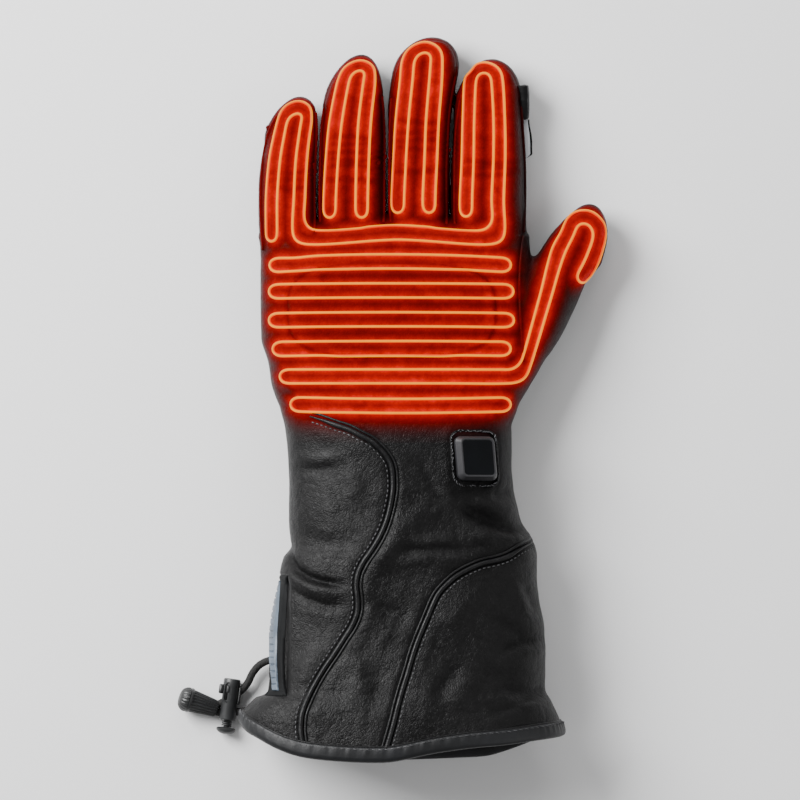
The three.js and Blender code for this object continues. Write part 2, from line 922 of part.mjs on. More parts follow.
// The lowest full row, which turns up into the thumb and goes round it twice.
function thumbLoop() {
  const at = (across, along) => {
    const p = new THREE.Vector3(across * thumbWidth, along * thumbLength, 0).applyMatrix4(thumbFrame);
    return [p.x, p.y];
  };
  const side = (which, sign) =>
    thumbWires.slice(0, -1).map((row) => at(row.centre + sign * row[which], row.along));
  const tip = thumbWires[thumbWires.length - 1];
  const inset = (wirePitch * 0.85) / thumbLength;
  const over = (which) => {
    const last = thumbWires[thumbWires.length - 2];
    const top = tip.along - (which === 'inner' ? inset : 0);
    const shoulder = THREE.MathUtils.lerp(last.along, top, 0.76);
    const spread = last[which] * 0.64;
    return [at(tip.centre - spread, shoulder), at(tip.centre, top), at(tip.centre + spread, shoulder)];
  };
  const upperY = thumbRow.upper * handLength;
  const lowerY = thumbRow.lower * handLength;
  const turnX = thumbRow.turn * palmWidth;
  const leftX = thumbRow.left * palmWidth + wirePitch / 2;
  const straightLead = 4.6 * wirePitch;
  const bend = (rows, y) => rows.map((row) => [turnX + row.across * wirePitch, y + row.along * wirePitch]);
  const first = run([
    [leftX, upperY],
    [leftX + straightLead, upperY],
    ...bend(bendOut, upperY),
    ...thumbRise.map((row) => at(row.outer, row.along)),
    ...side('outer', -1),
    ...over('outer'),
    ...side('outer', 1).reverse(),
  ]);
  const second = run([
    ...side('inner', 1),
    ...over('inner').reverse(),
    ...side('inner', -1).reverse(),
    ...thumbRise.map((row) => at(row.inner, row.along)).reverse(),
    ...bend(bendBack, lowerY),
    [leftX + straightLead, lowerY],
    [leftX, lowerY],
  ]);
  const turn = THREE.MathUtils.degToRad(thumbLean);
  return [
    ...first,
    ...halfTurn(first[first.length - 1], second[0], -Math.sin(turn), -Math.cos(turn)),
    ...second,
    ...halfTurn(second[second.length - 1], first[0], -1, 0),
  ];
}

function piping(name, seam, from, material) {
  const count = 90;
  const line = planLine(seam, count).slice(Math.round(from * count));
  const kept = thinned(laidOnSkin(line, false), wireSlack);
  const tube = solidOf(skinTube(kept, pipingRadius, 6, false));
  return part(name, tube.subtract(nearSkin).subtract(beyondHem(bindingDepth + clearance)), material);
}

// A rounded rectangle as a ring of points at height z.
function roundedRing(width, length, radius, z) {
  const points = [];
  const corners = [[1, 1, 0], [-1, 1, 1], [-1, -1, 2], [1, -1, 3]];
  for (const [sx, sy, quarter] of corners) {
    for (let i = 0; i <= 3; i += 1) {
      const angle = (Math.PI / 2) * (quarter + i / 3);
      points.push(
        new THREE.Vector3(
          sx * (width / 2 - radius) + radius * Math.cos(angle),
          sy * (length / 2 - radius) + radius * Math.sin(angle),
          z,
        ),
      );
    }
  }
  return points;
}

const bezelCorner = 3.2;
const capCorner = 2.6;

// The button sits where the wrist slopes a little, so it has its own frame.
function buttonFrame() {
  const x = buttonPlace.across * palmWidth;
  const y = buttonPlace.along * handLength;
  const reach = bezelWidth / 2;
  const at = (dx, dy) => skinAt(x + dx, y + dy).point;
  const acrossSkin = at(reach, 0).sub(at(-reach, 0));
  const alongSkin = at(0, reach).sub(at(0, -reach));
  const up = new THREE.Vector3().crossVectors(acrossSkin, alongSkin).normalize();
  up.lerp(new THREE.Vector3(0, 0, 1), bezelLevelling).normalize();
  const turn = new THREE.Quaternion().setFromUnitVectors(new THREE.Vector3(0, 0, 1), up);
  return new THREE.Matrix4().compose(at(0, 0), turn, new THREE.Vector3(1, 1, 1));
}

function controlBezel(frame) {
  const block = solidOf(
    loft([
      roundedRing(bezelWidth, bezelLength, bezelCorner, -4),
      roundedRing(bezelWidth, bezelLength, bezelCorner, bezelHeight - 0.8),
      roundedRing(bezelWidth - 0.8, bezelLength - 0.8, bezelCorner - 0.4, bezelHeight),
    ]).applyMatrix4(frame),
  );
  const pocket = solidOf(
    loft([
      roundedRing(capWidth + 2 * clearance, capLength + 2 * clearance, capCorner + clearance, pocketFloor),
      roundedRing(capWidth + 2 * clearance, capLength + 2 * clearance, capCorner + clearance, bezelHeight + 5),
    ]).applyMatrix4(frame),
  );
  return block.subtract(handSolid(clearance)).subtract(pocket);
}

const capBase = pocketFloor + capTravel + clearance;

function controlCap() {
  const edge = 0.6;
  const top = capBase + capHeight;
  const body = loft([
    roundedRing(capWidth, capLength, capCorner, capBase),
    roundedRing(capWidth, capLength, capCorner, capBase + 1),
    roundedRing(capTopWidth + edge, capTopLength + edge, capCorner * 0.8, top - edge / 2),
    roundedRing(capTopWidth, capTopLength, capCorner * 0.7, top),
  ]);
  const recess = loft([
    roundedRing(capTopWidth - 2 * faceRim, capTopLength - 2 * faceRim, capCorner * 0.4, top - faceThickness),
    roundedRing(capTopWidth - 2 * faceRim, capTopLength - 2 * faceRim, capCorner * 0.4, top + 2),
  ]);
  return geometryOf(solidOf(body).subtract(solidOf(recess)));
}

function controlFace() {
  const inset = 2 * (faceRim + clearance);
  const low = capBase + capHeight - faceThickness + clearance;
  return loft([
    roundedRing(capTopWidth - inset, capTopLength - inset, capCorner * 0.3, low),
    roundedRing(capTopWidth - inset, capTopLength - inset, capCorner * 0.3, low + faceThickness),
  ]);
}

function turned(profile, sides) {
  const points = profile.map(([radius, along]) => new THREE.Vector2(radius, along));
  return new THREE.LatheGeometry(points, sides);
}

const boreRadius = barrelRadius - barrelWall;
const shaftRadius = boreRadius - clearance;
const headRadius = barrelRadius;

// The barrel's closed end is at y = 0, and it opens towards minus Y.
function lockBarrel() {
  const chamfer = 0.6;
  const body = turned(
    [
      [0, 0],
      [0, -barrelLip],
      [boreRadius, -barrelLip],
      [boreRadius, -(barrelLength - barrelLip)],
      [stemRadius + clearance, -(barrelLength - barrelLip)],
      [stemRadius + clearance, -barrelLength],
      [barrelRadius - chamfer, -barrelLength],
      [barrelRadius, -(barrelLength - chamfer)],
      [barrelRadius, -chamfer],
      [barrelRadius - chamfer, 0],
      [0, 0],
    ].reverse(),
    lockSides,
  );
  const window = slab(
    -windowWidth / 2 - 1,
    windowWidth / 2 - 1,
    -(2.4 + windowLength),
    -2.4,
    0,
    barrelRadius * 2,
  );
  return solidOf(facingOut(mergedOnly(body))).subtract(window);
}

function mergedOnly(geometry) {
  const bare = geometry.clone();
  bare.deleteAttribute('normal');
  bare.deleteAttribute('uv');
  return mergeVertices(bare, 1e-4);
}

function lockPlunger() {
  const shaftEnd = -(barrelLength - barrelLip - clearance);
  const shaftStart = -(barrelLip + plungerTravel + 2 * clearance);
  const headStart = -(barrelLength + plungerTravel + clearance);
  return facingOut(
    mergedOnly(
      turned(
        [
          [0, shaftStart],
          [shaftRadius, shaftStart],
          [shaftRadius, shaftEnd],
          [stemRadius, shaftEnd],
          [stemRadius, headStart],
          [headRadius - 0.5, headStart],
          [headRadius, headStart - 0.6],
          [headRadius - 0.3, headStart - plungerHead * 0.7],
          [headRadius * 0.5, headStart - plungerHead],
          [0, headStart - plungerHead],
        ],
        lockSides,
      ),
    ),
  );
}

// The cord end is a dome with a ribbed cone behind it; its nose is at y = 0.
const domeLength = endRadius * 0.9;
function cordEnd() {
  const ribbed = endLength - domeLength;
  const profile = [[0, 0]];
  for (let i = 0; i < endRibs; i += 1) {
    const radius = THREE.MathUtils.lerp(noseRadius, endRadius, i / endRibs);
    const from = -(i / endRibs) * ribbed;
    const pitch = ribbed / endRibs;
    profile.push([radius - 0.5, from], [radius, from - pitch * 0.25]);
    profile.push([radius, from - pitch * 0.65], [radius - 0.5, from - pitch * 0.85]);
  }
  for (let i = 0; i <= 4; i += 1) {
    const angle = (Math.PI / 2) * (i / 4);
    profile.push([endRadius * Math.cos(angle), -ribbed - domeLength * Math.sin(angle)]);
  }
  profile[profile.length - 1][0] = 0;
  return facingOut(mergedOnly(turned(profile, endSides)));
}

function cordTube(points) {
  const curve = new THREE.CatmullRomCurve3(points.map((p) => new THREE.Vector3(...p)), false, 'centripetal');
  const section = new THREE.Shape(
    Array.from({ length: 8 }, (_, i) => {
      const angle = (2 * Math.PI * i) / 8;
      return new THREE.Vector2(cordRadius * Math.cos(angle), cordRadius * Math.sin(angle));
    }),
  );
  return new THREE.ExtrudeGeometry(section, { steps: 8, extrudePath: curve, bevelEnabled: false });
}

function material(name, color, roughness, metalness = 0, emissive = 0x000000) {
  return new THREE.MeshStandardMaterial({ name, color, roughness, metalness, emissive });
}

const materials = {
  leather: material('leather', 0x2b2a2c, 0.55),
  panel: material('cuff_leather', 0x3d3c3e, 0.6),
  piping: material('piping', 0x201f21, 0.5),
  binding: material('binding', 0x2a2b2e, 0.75),
  wire: material('heating_wire', 0xffa21a, 0.4, 0, 0xff7a10),
  bezel: material('bezel', 0x2c2c2d, 0.55),
  cap: material('button_rubber', 0x353937, 0.5),
  face: material('button_face', 0x1b2430, 0.35),
  label: material('label_rubber', 0x6e7c8a, 0.6),
  wiper: material('wiper_rubber', 0x101011, 0.45),
  blade: material('wiper_blade', 0x84888e, 0.4),
  cord: material('cord', 0x1b1b1c, 0.8),
  lock: material('lock_plastic', 0x1f2121, 0.45),
};

function part(name, shape, look) {
  const geometry = shape instanceof THREE.BufferGeometry ? shape : geometryOf(shape);
  const mesh = new THREE.Mesh(geometry, look.clone());
  mesh.name = name;
  return mesh;
}

const glove = new THREE.Group();
glove.name = 'heated_glove';
const loose = new THREE.Group();
loose.name = 'drawcord_parts';

glove.add(part('hand_back', backPiece, materials.leather));
glove.add(part('hand_palm', palmPiece, materials.leather));
fingers.forEach((finger, i) => {
  glove.add(part(`finger_${finger.name}`, fingerPieces[i], materials.leather));
});
glove.add(part('thumb', thumbPiece, materials.leather));
glove.add(part('cuff_panel_little_side', littlePanel, materials.panel));
glove.add(part('cuff_panel_thumb_side', thumbPanel, materials.panel));
glove.add(piping('piping_little_side', littleSeam, pipingStarts.little, materials.piping));
glove.add(piping('piping_thumb_side', thumbSeam, pipingStarts.thumb, materials.piping));
glove.add(part('hem_binding', hemBinding(), materials.binding));
glove.add(
  part(
    'knuckle_panel',
    patch(handSolid, prism(knuckleOutline(0), palmThickness * 0.6, above), clearance, knuckleThickness),
    materials.leather,
  ),
);
glove.add(
  part(
    'side_label',
    patch(
      handSolid,
      slab(
        farLeft,
        labelSpan.right * palmWidth,
        labelSpan.from * handLength,
        labelSpan.to * handLength,
        labelLow,
        above,
      ),
      clearance,
      labelWall,
    ),
    materials.label,
  ),
);

// The wiper holder wraps the outer side of the index finger, and its blade runs on below it.
const indexFinger = fingers[3];
const indexSize = fingerSize(indexFinger);
const onIndex = (grow) => fingerSolid(indexFinger, grow);
function indexStrip(span, inset, low, high) {
  const right = indexSize.across + 0.5 * indexSize.width;
  return slab(
    right - inset,
    farRight,
    handLength + span.from * indexSize.length,
    handLength + span.to * indexSize.length,
    low,
    high,
  );
}
glove.add(
  part(
    'visor_wiper_holder',
    patch(onIndex, indexStrip(wiperSpan, wiperInset, wiperLow, wiperLow + wiperWidth), clearance, wiperWall),
    materials.wiper,
  ),
);
glove.add(
  part(
    'visor_wiper_blade',
    patch(
      onIndex,
      indexStrip(bladeSpan, wiperInset, bladeMiddle - bladeThickness / 2, bladeMiddle + bladeThickness / 2),
      clearance,
      bladeHeight,
    ),
    materials.blade,
  ),
);

const ringFinger = fingers[1];
const middleFinger = fingers[2];
glove.add(wire('heating_wire_little_and_index', joinedLoop()));
glove.add(wire('heating_wire_ring', doubleLoop(ringFinger)));
glove.add(wire('heating_wire_middle', doubleLoop(middleFinger)));
glove.add(wire('heating_wire_thumb', thumbLoop()));
wireRows.forEach((row, i) => {
  glove.add(wire(`heating_wire_row_${i + 1}`, rowLoop(row)));
});

const frame = buttonFrame();
glove.add(part('control_bezel', controlBezel(frame), materials.bezel));
glove.add(part('control_button', controlCap().applyMatrix4(frame), materials.cap));
glove.add(part('control_button_face', controlFace().applyMatrix4(frame), materials.face));

const lock = new THREE.Group();
lock.position.set(lockPlace.across * palmWidth, lockPlace.along * handLength, barrelRadius);
lock.rotation.z = THREE.MathUtils.degToRad(-barrelTilt);
lock.add(part('cord_lock_barrel', lockBarrel(), materials.lock));
lock.add(part('cord_lock_plunger', lockPlunger(), materials.lock));
loose.add(lock);

const end = new THREE.Group();
const endDrop = Math.asin((endRadius - noseRadius) / (endLength - domeLength));
const lean = Math.tan(THREE.MathUtils.degToRad(barrelTilt));
const noseSlant = noseRadius * Math.sin(THREE.MathUtils.degToRad(endTilt - barrelTilt));
const endY = endAlong * handLength;
const besideLock = lock.position.x - (lock.position.y - endY) * lean - barrelRadius;
end.position.set(besideLock - clearance - noseSlant, endY, noseRadius);
end.rotation.set(-endDrop, 0, THREE.MathUtils.degToRad(-90 - endTilt), 'ZYX');
end.add(part('cord_end', cordEnd(), materials.lock));
loose.add(end);

loose.add(part('drawcord_upper', cordTube(upperCord), materials.cord));
loose.add(part('drawcord_lower', cordTube(lowerCord), materials.cord));

// The origin is under the middle of the glove, without its drawcord.
const extent = new THREE.Box3().setFromObject(glove);
const middle = extent.getCenter(new THREE.Vector3());
const model = new THREE.Group();
model.add(glove, loose);
model.position.set(-middle.x, -middle.y, -extent.min.z);
model.updateMatrixWorld(true);

export default model;
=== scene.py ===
import math

import bmesh
import bpy
import numpy as np
from mathutils import Matrix, Vector
from mathutils.bvhtree import BVHTree


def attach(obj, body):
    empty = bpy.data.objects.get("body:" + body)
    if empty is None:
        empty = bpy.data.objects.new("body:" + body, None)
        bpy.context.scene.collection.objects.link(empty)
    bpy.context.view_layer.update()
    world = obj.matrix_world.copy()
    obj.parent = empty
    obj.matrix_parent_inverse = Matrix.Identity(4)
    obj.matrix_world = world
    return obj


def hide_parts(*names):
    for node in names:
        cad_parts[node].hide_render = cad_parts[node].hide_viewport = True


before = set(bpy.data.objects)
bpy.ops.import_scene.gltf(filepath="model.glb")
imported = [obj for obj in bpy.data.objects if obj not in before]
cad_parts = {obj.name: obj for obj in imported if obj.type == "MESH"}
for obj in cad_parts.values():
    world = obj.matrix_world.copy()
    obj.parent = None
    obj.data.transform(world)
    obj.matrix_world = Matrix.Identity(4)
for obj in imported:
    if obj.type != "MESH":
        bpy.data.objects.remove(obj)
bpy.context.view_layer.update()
scene = bpy.context.scene

# All shapes are worked out in millimetres from the middle of the hem, as in the
# solids, and SHIFT brings them into the shared frame.
MILLIMETRE = 0.001
SHIFT = np.array([1.053, -167.576, 0.0])
# The hand's length from the hem to the fingers, the palm's width, the heights of the
# hand and the fingers, the step of the skin's grid and the leather's wall.
HAND = 250.0
PALM = 124.7
HAND_HEIGHT = 44.0
FINGER = 31.0
THUMB_HEIGHT = 29.0
GRID = 0.8
WALL = 2.6
# The photograph: its column over the hem's middle, its row at the hem, the row of the
# finger roots, and the size of a pixel. Tables of places on the glove give its pixels.
MIDDLE_COLUMN = 423.0
HEM_ROW = 765.0
ROOT_ROW = 222
PIXEL = 0.46


def at(x, y):
    """A place in the photograph, in millimetres on the plan of the glove."""
    return ((x - MIDDLE_COLUMN) * PIXEL, (HEM_ROW - y) * PIXEL)


def framed(points):
    return (np.asarray(points, float) + SHIFT) * MILLIMETRE


# Camera
camera_data = bpy.data.cameras.new("camera")
camera_data.sensor_width = 36.0
camera_data.lens = 587.0
camera_data.clip_start = 0.1
camera_data.clip_end = 100.0
camera = bpy.data.objects.new("camera", camera_data)
scene.collection.objects.link(camera)
camera.location = (-0.0095, 0.0003, 6.03)
scene.camera = camera


# Mesh helpers
def mesh_object(name, points, faces, materials, smooth=True, attributes=None, indices=None):
    mesh = bpy.data.meshes.new(name)
    mesh.from_pydata(framed(points).tolist(), [], [list(map(int, face)) for face in faces])
    for surface in materials if isinstance(materials, (list, tuple)) else [materials]:
        mesh.materials.append(surface)
    if indices is not None:
        mesh.polygons.foreach_set("material_index", np.asarray(indices, np.int32))
    mesh.polygons.foreach_set("use_smooth", np.full(len(mesh.polygons), smooth))
    for key, values in (attributes or {}).items():
        layer = mesh.attributes.new(key, "FLOAT", "POINT")
        layer.data.foreach_set("value", np.asarray(values, np.float32))
    mesh.update()
    obj = bpy.data.objects.new(name, mesh)
    scene.collection.objects.link(obj)
    return obj


def crisp(obj, degrees=35.0):
    obj.data.set_sharp_from_angle(angle=math.radians(degrees))
    return obj


def catmull(points, step, closed=False):
    """Evenly spaced points of a smooth line through the given ones."""
    p = np.asarray(points, float)
    if closed:
        p = np.vstack([p[-1], p, p[0], p[1]])
    else:
        p = np.vstack([2 * p[0] - p[1], p, 2 * p[-1] - p[-2]])
    dense = []
    for i in range(1, len(p) - 2):
        a, b, c, d = p[i - 1], p[i], p[i + 1], p[i + 2]
        ta = 0.0
        tb = ta + max(np.linalg.norm(b - a), 1e-6) ** 0.5
        tc = tb + max(np.linalg.norm(c - b), 1e-6) ** 0.5
        td = tc + max(np.linalg.norm(d - c), 1e-6) ** 0.5
        t = np.linspace(tb, tc, 24, endpoint=False)[:, None]
        ab = (tb - t) / (tb - ta) * a + (t - ta) / (tb - ta) * b
        bc = (tc - t) / (tc - tb) * b + (t - tb) / (tc - tb) * c
        cd = (td - t) / (td - tc) * c + (t - tc) / (td - tc) * d
        abc = (tc - t) / (tc - ta) * ab + (t - ta) / (tc - ta) * bc
        bcd = (td - t) / (td - tb) * bc + (t - tb) / (td - tb) * cd
        dense.append((tc - t) / (tc - tb) * abc + (t - tb) / (tc - tb) * bcd)
    dense = np.vstack(dense + [p[-2][None]])
    along = np.concatenate([[0], np.cumsum(np.linalg.norm(np.diff(dense, axis=0), axis=1))])
    count = max(2, int(round(along[-1] / step)))
    places = np.linspace(0, along[-1], count + 1)
    if closed:
        places = places[:-1]
    return np.stack([np.interp(places, along, dense[:, k]) for k in range(p.shape[1])], 1)


def tangents(line, closed=False):
    if closed:
        t = np.roll(line, -1, 0) - np.roll(line, 1, 0)
    else:
        t = np.gradient(line, axis=0)
    return t / np.maximum(np.linalg.norm(t, axis=1, keepdims=True), 1e-9)


def sweep(line, normals, section, closed=False, scale=None):
    """A tube along here line. section lists (sideways, outwards) offsets."""
    forward = tangents(line, closed)
    side = np.cross(forward, normals)
    side /= np.maximum(np.linalg.norm(side, axis=1, keepdims=True), 1e-9)
    up = np.cross(side, forward)
    corners = np.asarray(section, float)
    size = np.ones(len(line)) if scale is None else np.asarray(scale)
    points = (
        line[:, None, :]
        + side[:, None, :] * (corners[None, :, 0:1] * size[:, None, None])
        + up[:, None, :] * (corners[None, :, 1:2] * size[:, None, None])
    )
    count, sides = len(line), len(corners)
    faces = []
    for i in range(count if closed else count - 1):
        here, there = i * sides, ((i + 1) % count) * sides
        for j in range(sides):
            after = (j + 1) % sides
            faces.append((here + j, here + after, there + after, there + j))
    if not closed:
        faces.append(tuple(range(sides))[::-1])
        faces.append(tuple((count - 1) * sides + j for j in range(sides)))
    return points.reshape(-1, 3), faces


def joined(parts):
    points, faces, start = [], [], 0
    for corners, polygons in parts:
        points.append(np.asarray(corners, float))
        faces.extend([tuple(int(index) + start for index in face) for face in polygons])
        start += len(corners)
    return np.vstack(points), faces


def circle(radius, sides, flat=1.0):
    angles = (np.arange(sides) + 0.5) * 2 * math.pi / sides
    return np.stack([radius * np.cos(angles), radius * flat * np.sin(angles)], 1)


def stacked(rings):
    """A closed form through rings of points, from below."""
    count = len(rings[0])
    faces = [tuple(range(count))[::-1], tuple((len(rings) - 1) * count + j for j in range(count))]
    for i in range(len(rings) - 1):
        here, there = i * count, (i + 1) * count
        for j in range(count):
            after = (j + 1) % count
            faces.append((here + j, here + after, there + after, there + j))
    return np.vstack(rings), faces


def lathe(profile, sides, ripple=None):
    """A turned form round Y. profile lists (radius, along)."""
    angles = np.arange(sides) * 2 * math.pi / sides
    rings = []
    for radius, y in profile:
        out = radius if ripple is None else radius + ripple(angles, radius, y)
        rings.append(np.stack([out * np.cos(angles), np.full(sides, y), out * np.sin(angles)], 1))
    return stacked(rings)


def recalculated(obj):
    """The same piece with all its faces turned outwards."""
    edited = bmesh.new()
    edited.from_mesh(obj.data)
    bmesh.ops.recalc_face_normals(edited, faces=edited.faces)
    edited.to_mesh(obj.data)
    edited.free()
    return obj


def unit(vectors):
    return vectors / np.linalg.norm(vectors, axis=1, keepdims=True)


def smoothstep(x, start, end):
    share = np.clip((x - start) / (end - start), 0, 1)
    return share * share * (3 - 2 * share)


def placed(points, matrix):
    turn = np.array(matrix)
    return np.asarray(points) @ turn[:3, :3].T + turn[:3, 3]


# Seeded noise
def lattice(ix, iy, iz, seed):
    h = (ix * 374761393 + iy * 668265263 + iz * 2147483647 + seed * 974634777) & 0xFFFFFFFF
    h = ((h ^ (h >> 13)) * 1274126177) & 0xFFFFFFFF
    return ((h ^ (h >> 16)) & 0xFFFF) / 32767.5 - 1.0


def noise(p, size, seed=0):
    q = np.asarray(p, float) / size
    i = np.floor(q).astype(np.int64)
    f = q - i
    f = f * f * f * (f * (f * 6 - 15) + 10)
    out = np.zeros(len(q))
    for dx in (0, 1):
        for dy in (0, 1):
            for dz in (0, 1):
                w = (
                    (f[:, 0] if dx else 1 - f[:, 0])
                    * (f[:, 1] if dy else 1 - f[:, 1])
                    * (f[:, 2] if dz else 1 - f[:, 2])
                )
                out += w * lattice(i[:, 0] + dx, i[:, 1] + dy, i[:, 2] + dz, seed)
    return out


# The glove's form
def rows(xs, ys):
    """A smooth curve through rows, with no overshoot."""
    order = np.argsort(xs)
    xs, ys = np.asarray(xs, float)[order], np.asarray(ys, float)[order]
    d = np.diff(ys) / np.diff(xs)
    m = np.zeros(len(xs))
    both = d[:-1] * d[1:] > 0
    m[1:-1][both] = 2 * d[:-1][both] * d[1:][both] / (d[:-1][both] + d[1:][both])
    m[0], m[-1] = d[0], d[-1]

    def value(x):
        x = np.clip(x, xs[0], xs[-1])
        k = np.clip(np.searchsorted(xs, x) - 1, 0, len(xs) - 2)
        h = xs[k + 1] - xs[k]
        t = (x - xs[k]) / h
        return (
            (2 * t**3 - 3 * t**2 + 1) * ys[k]
            + (t**3 - 2 * t**2 + t) * h * m[k]
            + (-2 * t**3 + 3 * t**2) * ys[k + 1]
            + (t**3 - t**2) * h * m[k + 1]
        )

    return value


# The hand's outline, row by row down the photograph: left edge, right edge, and how
# high the back stands as a share of the palm's thickness.
hand_rows = [
    (790, 238, 567, 1.45), (745, 238, 565, 1.43), (730, 238, 563, 1.41), (715, 240, 558, 1.39),
    (702, 251, 552, 1.37), (690, 263, 547, 1.34), (660, 266, 545, 1.3), (630, 269, 544, 1.26),
    (600, 273, 538, 1.23), (575, 278.5, 535, 1.2), (557, 283, 535, 1.19), (545, 291, 533.5, 1.18),
    (520, 290, 521, 1.16), (495, 290, 515, 1.14), (465, 288, 512, 1.11), (430, 285, 512, 1.09),
    (410, 280, 517, 1.07), (386, 272, 527, 1.05), (362, 268, 533, 1.02), (338, 261, 535, 1.0),
    (300, 260, 534, 0.98), (262, 260, 531, 0.93), (240, 259, 529, 0.84), (229, 259.5, 528, 0.76),
    (218, 261, 526, 0.68),
]
hand_at = np.array([at(r[1], r[0])[1] for r in hand_rows])
hand_left = rows(hand_at, [at(r[1], r[0])[0] for r in hand_rows])
hand_right = rows(hand_at, [at(r[2], r[0])[0] for r in hand_rows])
hand_top = rows(hand_at, [r[3] * HAND_HEIGHT for r in hand_rows])
hand_low = rows([20, 29, 34, 60], [1.5, 1.5, 0, 0])

# Each finger: rows of left and right edge, where its tip begins to round, its end,
# and half its width there.
fingers = {
    "little": dict(
        rows=[(262, 262, 316), (222, 258, 316), (187, 258.5, 315.5), (160, 261, 316), (142, 264, 317.5)],
        middle=[(142, 290.8), (134, 291), (120, 293.75), (110, 296.25), (102, 298.5), (96, 299.7)],
        round_from=80, end=126, half=27,
    ),
    "ring": dict(
        rows=[(262, 320, 385), (222, 317.8, 386), (180, 318, 386), (140, 319.5, 385.5), (117, 321.5, 385)],
        middle=[(117, 353.2), (110, 353.5), (86, 355.25), (74, 357.25), (64, 359.25), (53, 361.5)],
        round_from=105, end=169, half=31.5,
    ),
    "middle": dict(
        rows=[(262, 389, 448), (222, 387.8, 449), (146, 387.8, 450), (110, 387.5, 452.5), (74, 391.5, 459)],
        middle=[(110, 420), (86, 423.5), (62, 427.5), (50, 430), (42, 432), (37, 433)],
        round_from=148, end=185.5, half=33.5, blunt=2.2,
    ),
    "index": dict(
        rows=[(262, 452, 526), (222, 450.8, 526.5), (170, 451.5, 527), (146, 452.3, 526),
              (122, 453.5, 524.7)],
        middle=[(122, 489.2), (98, 489.2), (86, 490), (74, 491.3), (58, 492)],
        round_from=100, end=164.5, half=35.6, blunt=2.4,
    ),
}
finger_up = rows([-0.4, 0, 0.3, 0.6, 0.8, 0.9, 1.0], [1, 1, 0.92, 0.84, 0.77, 0.72, 0.66])
finger_down = rows([-0.4, 0.7, 0.85, 1.0], [0, 0, 0.03, 0.17])
# Where a section is widest, as a share of its height, how much rounder it is below,
# and the power of its outline.
BELLY = 0.42
DEEPER = 1.14
ROUND = 2.5
# Below this line a finger shrinks away inside the hand.
ROOT_DEPTH = 243.0
ROOT_SLOPE = 0.45


def superellipse(dx, half, dz, up, down):
    v = np.where(dz > 0, dz / up, -dz / down)
    return ((np.abs(dx) / half) ** ROUND + v**ROUND) ** (1 / ROUND)


def soft_max(a, b, k):
    h = np.clip(0.5 + 0.5 * (a - b) / k, 0, 1)
    return b * (1 - h) + a * h + k * h * (1 - h)


def soft_min(a, b, k):
    h = np.clip(0.5 + 0.5 * (b - a) / k, 0, 1)
    return b * (1 - h) + a * h - k * h * (1 - h)


def capped(dx, half, dz, up, down, ahead, low, z):
    """Distance to a tube's skin; ahead is the way into its rounded end as a share."""
    flat = superellipse(dx, half, dz, up, down)
    rho = np.maximum((flat**2 + ahead**2) ** 0.5, 1e-3)
    reach = np.sqrt(dx**2 + dz**2 + (ahead * 14.0) ** 2) + 1e-3
    return soft_max(reach * (1 - 1 / rho), low - z, 1.6)


def fullness(ahead, blunt=2.0):
    """How much fuller a rounded end stands than an ellipse."""
    inside = np.clip(ahead, 0, 0.985)
    return np.minimum((1 - inside**4) ** 0.25 / (1 - inside**blunt) ** (1 / blunt), 1.45)


def hand_field(x, y, z):
    left, right, top, low = hand_left(y), hand_right(y), hand_top(y), hand_low(y)
    belly = low + (top - low) * BELLY
    ahead = np.clip((y - (HAND - 7.0)) / 9.5, 0, 4)
    return capped(
        x - (left + right) / 2, (right - left) / 2, z - belly, top - belly,
        (belly - low) * DEEPER, ahead, low, z,
    )


def finger_field(spec):
    """The distance to a finger's skin. blunt is how square its end is on the plan."""
    ys = [at(0, row)[1] for row, _, _ in spec["rows"]]
    left = rows(ys, [at(x, 0)[0] for _, x, _ in spec["rows"]])
    right = rows(ys, [at(x, 0)[0] for _, _, x in spec["rows"]])
    middle_ys = [at(0, row)[1] for row, _ in spec["middle"]]
    tip_middle = rows(middle_ys, [at(x, 0)[0] for _, x in spec["middle"]])
    start = at(0, ROOT_ROW - spec["round_from"])[1]
    length = (spec["end"] - spec["round_from"]) * PIXEL
    whole = spec["end"] * PIXEL
    root = at(0, ROOT_ROW)[1]
    half_tip = spec["half"] * PIXEL
    blunt = spec.get("blunt", 2.0)

    def field(x, y, z):
        share = (y - root) / whole
        ahead = np.clip((y - start) / length, 0, 3)
        middle = (left(y) + right(y)) / 2
        half = (right(y) - left(y)) / 2
        in_tip = smoothstep(y, start - 5, start + 5)
        tip_centre = np.where((y > middle_ys[0] - 1) | (y >= start), tip_middle(y), middle)
        centre = (1 - in_tip) * middle + in_tip * tip_centre
        half = (1 - in_tip) * half + in_tip * half_tip
        top = finger_up(share) * FINGER
        low = finger_down(share) * FINGER
        belly = low + (top - low) * BELLY
        fuller = fullness(ahead, blunt)
        skin = capped(
            x - centre, half, z - belly, (top - belly) * fuller, (belly - low) * DEEPER * fuller,
            ahead ** (blunt / 2), low, z,
        )
        return skin + ROOT_SLOPE * np.clip(ROOT_DEPTH - y, 0, None)

    return field


